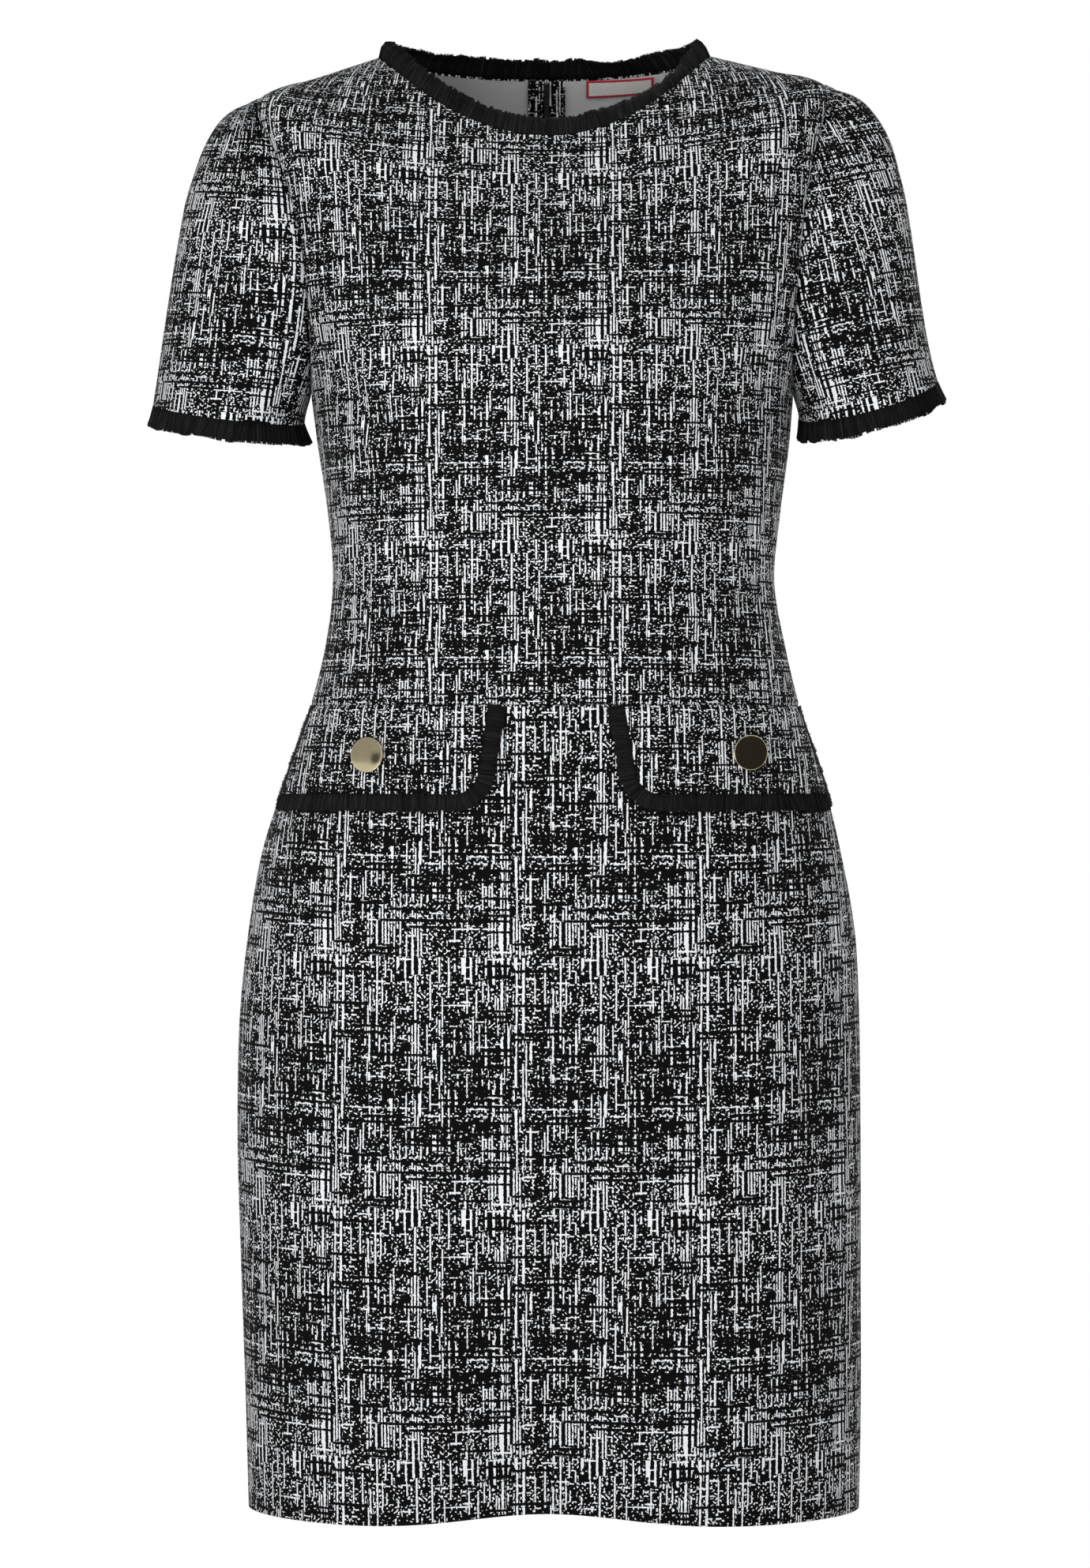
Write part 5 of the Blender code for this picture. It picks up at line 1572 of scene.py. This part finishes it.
@dataclass
class Trims:
    """The fringe round the neck and the cuffs."""

    fringe: Fringe
    gap: float = 0.4  # between the cloth's edge and the yarns' roots
    lean: tuple[float, float, float] = (0.66, 0.42, 0.80)  # the neck's yarns: in along X, in along Y, up
    end: float = -0.15  # from the middle of the back to each end of the neck's trim: the ends overlap a little
    tuck: tuple[float, float, float] = (1.6, 0.64, 0.42)  # the left front lies flatter: (how much, angle, spread)
    droop: tuple[float, float, float] = (0.55, 0.50, 0.22)  # the left back stands lower: (how much, place, spread)
    notch: tuple[float, float] = (0.35, 4.0)  # the dip where the ends meet: (how much, spread in millimetres)
    splay: float = 0.10  # how far the cuffs' yarns point outwards
    neck_seed: int = 11
    cuff_seed: int = 12
    cuff_length: float = 13.4
    cuff_wave: float = 0.9
    cuff_lean: float = 1.2

    def build(self, shared: Wardrobe) -> None:
        """Makes the three fringes."""
        body = shared.body
        end = self.end / float(body.column("aft", NECK))
        theta = np.linspace(-math.pi / 2 + end, 1.5 * math.pi - end, 400)
        edge, out = body.at(theta, NECK), body.normal(theta, NECK)
        on = unit(edge - body.at(theta, NECK - 2))
        across, ahead = np.cos(theta), np.sin(theta)
        tuck = self.tuck[0] * np.exp(-(((theta - self.tuck[1]) / self.tuck[2]) ** 2))
        droop = self.droop[0] * (ahead < 0) * np.exp(-(((across - self.droop[1]) / self.droop[2]) ** 2))
        notch = self.notch[0] * np.exp(-((edge[:, 0] / self.notch[1]) ** 2)) * (ahead < 0)
        aim = np.stack([-across * (1 - 0.3 * tuck), ahead * (1 + tuck), 1 - 0.3 * tuck - droop - notch], axis=-1)
        bow = 1.5 + (1.8 - 1.1 * across) * across**8
        line = Edging(edge + on * self.gap - out * CLOTH * 0.6, out, unit(aim * self.lean), False, bow)
        self.fringe.build("fringe_neck", line, self.neck_seed, shared)
        for side, surface in shared.sleeves.items():
            psi = np.linspace(0, 2 * math.pi, 300, endpoint=False)
            edge, out = surface.at(psi, CUFF_AT), surface.normal(psi, np.full(len(psi), CUFF_AT))
            on = unit(edge - surface.at(psi, CUFF_AT - 0.03))
            splay = self.splay + surface.cuff.splay * ((1 + np.cos(psi)) / 2) ** 3
            way = unit(on + splay[:, None] * out)
            line = Edging(edge + on * self.gap - out * CLOTH * 0.6, out, way, True, np.zeros(len(psi)))
            fringe = replace(self.fringe, length=self.cuff_length, wave=self.cuff_wave, lean=self.cuff_lean)
            fringe.build(f"fringe_cuff_{side.word}", line, self.cuff_seed + side.value, shared)


# ---------------------------------------------------------------------------------------------------------
# Mock pocket flaps and buttons


@dataclass
class Flap:
    """A mock pocket flap with its fringe and its button. Its top is caught in the waist seam."""

    side: Side
    inner_top: float  # where its inner edge starts and ends, from the middle
    inner_foot: float
    button_x: float
    button_level: float
    turn: float  # how far its button faces to the middle, and down, from the surface under it
    tip: float
    shy: float = 26.0  # how far in front of the side its outer edge lies
    drop: float = 57.5
    corner: float = 13.0
    thick: float = 1.6
    puffed: float = 0.5  # how much thicker it is away from its edges
    lift: float = 0.8  # how far its foot stands off
    phase: tuple[float, float] = (61.0, -9.0)  # where its print starts
    rows: int = 30
    columns: int = 64
    seed: int = 21
    root_gap: float = 0.4  # between its edge and the yarns' roots
    button_radius: float = 11.4
    button_thick: float = 1.9
    rim: tuple[float, float] = (0.35, 0.7)  # the rim's rounding, across and up
    dome: float = 0.25  # how far the button's face bulges
    shank_tall: float = 3.6

    def edge(self, share: Array) -> tuple[Array, Array]:
        """The inner edge: (distance from the middle, level), straight down to a quarter ellipse."""
        round_from = 1 - self.corner / self.drop
        straight = self.inner_top + (self.inner_foot - self.inner_top) * share
        bend = np.clip((share - round_from) / (1 - round_from), 0, 1)
        return straight + self.corner * (1 - np.sqrt(1 - bend**2)), WAIST_SEAM - SEAM_GAP / 2 - self.drop * share

    def angles(self, body: Body, share: Array) -> tuple[Array, Array, Array]:
        """(inner edge's angle, outer edge's angle, level) down the flap."""
        x, level = self.edge(share)
        inner = body.angle(self.side.value * x, level, Face.FRONT)
        turn = self.shy / body.column("fore", level)
        return inner, turn if self.side is Side.LEFT else math.pi - turn, level

    def rise(self, level: Array) -> Array:
        """How far the flap's under side stands off the skirt: more towards its foot."""
        share = np.clip((WAIST_SEAM - level) / self.drop, 0, 1.6)
        return LAY_GAP + self.lift * share**1.5

    def build(self, shared: Wardrobe) -> None:
        """Makes the flap, its fringe and its button."""
        cloth = self.build_cloth(shared)
        fringe = self.build_fringe(shared)
        self.build_button(shared)

    def build_cloth(self, shared: Wardrobe) -> bpy.types.Object:
        """Makes the flap: the draped skirt's surface, raised, between its three free edges."""
        share = np.sin(np.linspace(0, math.pi / 2, self.rows + 1))
        inner, outer, level = self.angles(shared.body, share)
        theta = outer[:, None] + (inner - outer)[:, None] * dense_ends(self.columns, 0.4)
        level = np.broadcast_to(level[:, None], theta.shape)
        at, out = shared.drape.at(theta, level), shared.body.normal(theta, level)
        to_waist = (WAIST_SEAM - SEAM_GAP / 2) - level
        foot = at + out * (self.rise(level) - groove(to_waist, SEAM_SINK))[..., None]
        around = np.minimum(reach(at, at[:, 0]), np.minimum(reach(at, at[:, -1]), reach(at, at[-1])))
        puff = self.puffed * smooth_step(around / 7.0) * smooth_step(to_waist / 5.0)
        top = foot + out * (self.thick + puff - groove(to_waist, 0.5))[..., None]
        u, v = shared.drape.maps[Face.FRONT].read(theta, level)
        uv = np.stack([u + self.phase[0], v + self.phase[1]], axis=-1)
        shape = wall(top, foot, uv, free=Free(high=True, first=True, last=True))
        piece = shape.piece(f"flap_{self.side.word}_cloth", (shared.print_cloth, shared.reverse), "jersey")
        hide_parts(f"flap_{self.side.word}")
        LOG.info("%s: %.4f m2", piece.name, surface_area(shape))
        return piece

    def build_fringe(self, shared: Wardrobe) -> bpy.types.Object:
        """Makes the fringe round the flap's free edges. Its strands follow the skirt."""
        body = shared.body
        inner, outer, level = self.angles(body, np.sin(np.linspace(0, math.pi / 2, 60)))
        foot = np.linspace(0, 1, 120)[1:-1]
        theta = np.concatenate([inner, inner[-1] + (outer[-1] - inner[-1]) * foot, outer[::-1]])
        level = np.concatenate([level, np.full(len(foot), level[-1]), level[::-1]])
        edge = body.at(theta, level)
        run = run_length(edge)
        places = np.arange(0, run[-1], 1.0)
        theta, level = np.interp(places, run, theta), np.interp(places, run, level)
        edge, out = body.at(theta, level), body.normal(theta, level)
        way = unit(np.cross(unit(np.gradient(edge, axis=0)), out)) * self.side.value
        kernel = np.exp(-((np.arange(-6, 7) / 3.0) ** 2))
        padded = np.pad(way, ((6, 6), (0, 0)), mode="edge")
        way = unit(np.stack([np.convolve(padded[:, k], kernel, "valid") for k in range(3)], axis=-1))
        line = Edging(edge, out, way, False, np.zeros(len(edge)))

        def lay(root: Array, _out: Array, ways: Array, along: Array, offset: Array) -> Array:
            """Follows the skirt from the roots."""
            return self.lay(shared.drape, root, ways, along, offset)

        fringe = Fringe(length=10.8, thick=1.3, wave=0.5)
        return fringe.build(f"fringe_flap_{self.side.word}", line, self.seed + self.side.value, shared, lay)

    def lay(self, drape: Drape, root: Array, ways: Array, along: Array, offset: Array) -> Array:
        """Points that follow the skirt's surface from roots, and stand off it as the flap does.

        Args:
            drape: The skirt's surface.
            root: The yarns' roots.
            ways: The yarns' directions.
            along: The directions along the edge.
            offset: How far each point lies along the way, along the edge and outwards.

        Returns:
            The points, yarns by points.
        """
        body, level = drape.body, root[:, 2]
        theta = np.arctan2(-root[:, 1] / body.column("fore", level), root[:, 0] / body.column("left", level))
        for _ in range(12):  # to the angle whose point is nearest to the root
            around = (body.at(theta + 0.01, level) - body.at(theta - 0.01, level)) / 0.02
            miss = ((root - body.at(theta, level)) * around).sum(-1)
            theta = theta + miss / np.maximum((around**2).sum(-1), 1e-9)
        a, b = offset[..., 0, None], offset[..., 1, None]
        shift = ways[:, None] * (a + self.root_gap) + along[:, None] * b
        theta, level = even(theta[:, None], level[:, None])
        for _ in range(3):
            theta, level = drape.near(theta, level, shift / 3)
        stand = self.rise(level) + self.thick * 0.5 * (1 - 0.25 * a[..., 0] / 14) + offset[..., 2] * 0.8 + 0.1
        return drape.at(theta, level) + body.normal(theta, level) * np.maximum(stand, 0.25)[..., None]

    def build_button(self, shared: Wardrobe) -> None:
        """Makes the button: a flat disc with a rounded rim and a slightly domed face, on a short shank."""
        body, level = shared.body, np.array(self.button_level)
        theta = body.angle(np.array(self.side.value * self.button_x), level, Face.FRONT)
        at, out = body.at(theta, level), body.normal(theta, level)
        seat = LAY_GAP + self.thick + SEAM_GAP
        top, radius = self.shank_tall + self.button_thick, self.button_radius
        shank = ((0, 0), (1.1, 0), (1.9, 0.6), (2.4, 1.2), (2.4, self.shank_tall - 0.3))
        under = ((3.0, self.shank_tall), (radius - 1.4, self.shank_tall + 0.05))
        turn = np.radians(np.linspace(-80, 90, 12))
        wide, tall = self.rim
        rim = [(radius - wide + wide * math.cos(a), top - tall + tall * math.sin(a)) for a in turn]
        shares = (0.93, 0.82, 0.66, 0.48, 0.30, 0.15, 0)
        face = [(radius * share, top + self.dome * (1 - share**2)) for share in shares]
        profile = np.array([*shank, *under, *rim, *face], float)
        facing = unit(out + np.array([-self.side.value * self.turn, 0.0, -self.tip]))
        shape = revolve(profile, 96, at + out * seat, facing)
        piece = shape.piece(f"button_{self.side.word}_metal", (shared.gold,), "gold")
        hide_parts(f"button_{self.side.word}")


# ---------------------------------------------------------------------------------------------------------
# Inside the back


@dataclass
class ZipClosure:
    """The concealed zip, its printed seam allowances and the label."""

    foot: float = -468.0  # the levels of the zip's two ends
    head: float = NECK - 12.104
    tape_from: float = 0.5
    tape_to: float = 11.0
    tape_depth: float = 2.1  # under the back's outer face
    tape_thick: float = 0.6
    chain_half: float = 1.9
    chain_depth: float = 3.25
    tooth_pitch: float = 1.3
    tooth_deep: float = 0.75
    tooth_radius: float = 0.36
    allowance_from: float = 2.2
    allowance_to: float = 12.2
    allowance_depth: float = 3.0
    allowance_thick: float = 0.9
    overlock_ends: tuple[float, float] = (HEM + 3.0, NECK - 2.0)
    overlock_pitch: float = 2.6
    overlock_wide: float = 2.7
    overlock_from: float = 2.2  # how far inside the allowance's edge it starts
    overlock_radius: float = 0.30
    label_from: float = 27.0
    label_to: float = 72.0
    label_tall: float = 15.2
    label_top: float = 62.4
    label_tilt: float = 1.8
    label_depth: float = CLOTH + 1.3
    label_thick: float = 0.55

    def build(self, shared: Wardrobe) -> None:
        """Makes the allowances, the tapes, the coil and the label, and finishes the slider and its tab."""
        for side in Side:
            self.build_allowance(shared, side)
        self.build_tapes(shared)
        self.build_label(shared)
        for name in ("zip_slider", "pull_tab"):
            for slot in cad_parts[name].material_slots:
                slot.material = shared.slider

    def strip(self, shared: Wardrobe, x: Array, level: Array, depth: float, thick: float) -> Shape:
        """A thin strip inside the back. Its map is x across and the run of its first column along.

        Args:
            shared: The surfaces.
            x: Its columns, from the middle.
            level: The levels of its rows, rows by columns or rows by one.
            depth: How deep its outer face lies under the back's.
            thick: How thick it is.

        Returns:
            The strip.
        """
        x, level = even(x, level)
        near, far = (shared.drape.inside(x, level, np.full(x.shape, deep)) for deep in (depth, depth + thick))
        rise = np.broadcast_to(run_length(near[:, 0])[:, None], x.shape)
        return wall(far, near, np.stack([x, rise], axis=-1), free=Free(True, True, True, True))

    def build_allowance(self, shared: Wardrobe, side: Side) -> None:
        """Makes one pressed seam allowance, with its overlocked edge."""
        x = np.linspace(self.allowance_from, self.allowance_to, 9) * side.value
        level = np.linspace(HEM + 1.0, NECK - 0.3, 260)[:, None]
        shape = self.strip(shared, x, level, self.allowance_depth, self.allowance_thick)
        piece = shape.piece(f"allowance_{side.word}_cloth", (shared.print_cloth, shared.print_cloth), "jersey")
        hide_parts(f"allowance_{side.word}")
        overlock = self.build_overlock(shared, side)

    def build_overlock(self, shared: Wardrobe, side: Side) -> bpy.types.Object:
        """Makes the overlocking along an allowance: a thread that zigzags over its edge."""
        low, high = self.overlock_ends
        steps = int((high - low) / (self.overlock_pitch / 2))
        level = low + np.arange(steps) * self.overlock_pitch / 2
        over = np.arange(steps) % 2
        x = side.value * (self.allowance_to - self.overlock_from + self.overlock_wide * over)
        lines = shared.drape.inside(x, level, self.allowance_depth + 1.15 - 0.6 * over)
        return self.thread(f"overlock_{side.word}", lines[None], self.overlock_radius, shared.yarn, "fringe")

    @staticmethod
    def thread(name: str, lines: Array, radius: float, finish: bpy.types.Material, slot: str) -> bpy.types.Object:
        """Makes a piece of threads that run through lines of points."""
        shape = Fringe(radius=radius).yarns(lines, np.zeros(lines.shape[1]))
        shape.turn_outwards = True
        return shape.piece(name, (finish,), slot)

    def build_tapes(self, shared: Wardrobe) -> None:
        """Makes the two tapes and the coil's teeth between them."""
        for side in Side:
            x = side.value * np.linspace(self.tape_from, self.tape_to, 7)
            level = np.linspace(self.foot, self.head, 240)[:, None]
            shape = self.strip(shared, x, level, self.tape_depth, self.tape_thick)
            tape = shape.piece(f"zip_tape_{side.word}", (shared.tape, shared.tape), "zip")
        count = int((self.head - self.foot) / self.tooth_pitch)
        level = self.foot + (np.arange(count)[:, None] + 0.5) * self.tooth_pitch
        turn = np.linspace(0, 2 * math.pi, 9)
        x = self.chain_half * np.cos(turn) * np.where(np.arange(count) % 2, 1.0, -1.0)[:, None]
        depth = np.broadcast_to(self.chain_depth + self.tooth_deep * np.sin(turn), x.shape)
        lines = shared.drape.inside(x, level + 0.25 * np.sin(turn), depth)
        chain = self.thread("zip_coil", lines, self.tooth_radius, shared.coil, "zip")
        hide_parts("zip_tapes")

    def build_label(self, shared: Wardrobe) -> None:
        """Makes the bare woven label."""
        share, down = np.linspace(0, 1, 40), np.linspace(0, 1, 13)[:, None]
        x = np.linspace(self.label_from, self.label_to, 40)
        level = self.label_top - self.label_tall * down - self.label_tilt * share
        shape = self.strip(shared, x, level, self.label_depth, self.label_thick)
        tall = float(shape.uv[:, 1].max())
        shape.uv = shape.uv - np.array([(self.label_from + self.label_to) / 2, tall / 2])
        woven = WovenLabel(self.label_to - self.label_from, tall).make()
        piece = shape.piece("neck_label_woven", (woven, woven), "label")
        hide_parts("neck_label")


# ---------------------------------------------------------------------------------------------------------
# Studio


DRESS_MIDDLE = Vector((0.0, 0.0, -0.45))  # in metres


@dataclass(frozen=True)
class Card:
    """A square card that faces the dress's middle. It shows in polished metal alone, or it shades and shows nowhere."""

    place: tuple[float, float, float]  # in metres
    size: float
    tone: float
    shades: bool = False

    def build(self, number: int) -> None:
        """Makes the card."""
        half = self.size / 2
        mesh = bpy.data.meshes.new(f"card_{number}")
        mesh.from_pydata([(-half, -half, 0), (half, -half, 0), (half, half, 0), (-half, half, 0)], [], [(0, 1, 2, 3)])
        mesh.materials.append(StudioPaper(self.tone).make())
        card = add_object(mesh.name, mesh)
        card.location = self.place
        card.rotation_euler = (DRESS_MIDDLE - card.location).to_track_quat("Z", "Y").to_euler()
        card.visible_camera = False
        card.visible_diffuse = card.visible_shadow = self.shades
        card.visible_glossy = not self.shades


@dataclass(frozen=True)
class Studio:
    """A pale floor, soft light, cards and the camera. Its places and sizes are in metres."""

    floor_z: float = -1.20
    floor_radius: float = 1.5
    camera_x: float = -0.00104
    camera_z: float = -0.472
    camera_away: float = 4.0
    view_tall: float = 1.0327  # what the picture takes in at the dress's middle
    sensor_tall: float = 24.0  # in millimetres
    world: float = 1.0
    key_power: float = 36.0
    key_size: float = 1.6
    key_place: tuple[float, float, float] = (-1.05, -2.1, -1.30)
    cards: tuple[Card, ...] = (
        Card((1.17, -1.78, -0.65), 1.0, 0.012),
        Card((-1.53, -1.30, 0.31), 1.0, 0.50),
        Card((-1.45, -1.40, -0.14), 0.10, 0.01),
        Card((-1.35, -0.10, -0.55), 1.3, 0.10, shades=True),
        Card((1.35, -0.10, -0.55), 1.3, 0.10, shades=True),
        Card((0.0, 0.10, 0.75), 1.1, 0.10, shades=True),
    )

    def build(self) -> None:
        """Sets up the world, the lights, the floor and the camera."""
        scene = bpy.context.scene
        scene.view_settings.view_transform = "Standard"
        world = bpy.data.worlds.new("studio")
        scene.world = world
        world.use_nodes = True
        background = world.node_tree.nodes["Background"]
        background.inputs["Color"].default_value = (1.0, 1.0, 1.0, 1.0)
        background.inputs["Strength"].default_value = self.world
        self.build_floor()
        self.build_lights()
        for number, card in enumerate(self.cards):
            card.build(number)
        self.build_camera()

    def build_floor(self) -> None:
        """A round floor, too small to enter the front view."""
        mesh = bpy.data.meshes.new("floor")
        turn = np.linspace(0, 2 * math.pi, 96, endpoint=False)
        ring = np.stack([np.cos(turn), np.sin(turn), 0 * turn], axis=-1) * self.floor_radius
        ring[:, 2] = self.floor_z
        mesh.from_pydata(ring.tolist(), [], [list(range(len(turn)))])
        mesh.materials.append(StudioPaper().make())
        floor = add_object("floor", mesh)

    def build_lights(self) -> None:
        """A large soft key, low in front of the dress and to the wearer's right."""
        light = bpy.data.lights.new("key", "AREA")
        light.shape = "DISK"
        light.size = self.key_size
        light.energy = self.key_power
        key = add_object("key", light)
        key.location = self.key_place
        key.rotation_euler = (DRESS_MIDDLE - key.location).to_track_quat("-Z", "Y").to_euler()

    def build_camera(self) -> None:
        """A level camera straight in front."""
        camera = bpy.data.cameras.new("camera")
        camera.sensor_fit = "VERTICAL"
        camera.sensor_height = self.sensor_tall
        camera.lens = self.sensor_tall * self.camera_away / self.view_tall
        holder = add_object("camera", camera)
        holder.location = (self.camera_x, -self.camera_away, self.camera_z)
        holder.rotation_euler = (math.pi / 2, 0.0, 0.0)
        bpy.context.scene.camera = holder


CUFFS = (
    Cuff(Side.RIGHT, 259.5, -226.5, 159.3, -235, 59, 7, 0.18, 0.70, 0.90, 0.32, (
        Fold(70, 60, 128, 116, 8.0, 1.4),
        Fold(98, 40, 150, 92, 7.0, -1.2),
        Fold(40, 96, 96, 146, 10.0, 0.9),
        Fold(-70, 64, -130, 112, 9.0, 1.3),
        Fold(-96, 44, -150, 96, 7.0, -1.1),
        Fold(16, 130, -40, 168, 11.0, 0.8),
    )),
    Cuff(Side.LEFT, 258.5, -209.5, 166.0, -231.5, 59, 11, 0.40, 0.90, 0.80, 0.0, (
        Fold(66, 66, 122, 118, 8.0, 1.5),
        Fold(94, 38, 148, 88, 7.5, -1.3),
        Fold(36, 92, 90, 150, 10.0, -0.9),
        Fold(-74, 58, -128, 108, 9.0, 1.2),
        Fold(-98, 40, -152, 92, 7.0, -1.2),
        Fold(20, 136, -36, 164, 11.0, -0.8),
    )),
)


FLAPS = (
    Flap(Side.RIGHT, inner_top=37.5, inner_foot=46.0, button_x=112.4, button_level=-454.2, turn=0.12, tip=0.12,
         shy=30.0),
    Flap(Side.LEFT, inner_top=49.8, inner_foot=59.3, button_x=128.8, button_level=-452.0, turn=0.32, tip=0.26),
)


def main() -> None:
    """Builds the dress on its frame, piece by piece, and the studio round it."""
    logging.basicConfig(level=logging.INFO, format="%(message)s")
    body = Body()
    shared = Wardrobe(
        drape=Drape(body),
        sleeves={cuff.side: SleeveSurface(body, cuff) for cuff in CUFFS},
        print_cloth=PrintedJersey().make(),
        reverse=JerseyReverse().make(),
        yarn=FringeYarn().make(),
        gold=PolishedGold().make(),
        tape=ZipFinish("zip tape", (0.012, 0.012, 0.013), 0.75, 0.9).make(),
        coil=ZipFinish("zip coil", (0.016, 0.016, 0.017), 0.42, 3.0).make(),
        slider=ZipFinish("zip slider", (0.014, 0.014, 0.015), 0.30, 5.0).make(),
    )
    Bodice().build(shared)
    Skirt().build(shared)
    for side in Side:
        Sleeve(side).build(shared)
    Trims(Fringe()).build(shared)
    for flap in FLAPS:
        flap.build(shared)
    ZipClosure().build(shared)
    Studio().build()


if __name__ == "__main__":
    main()
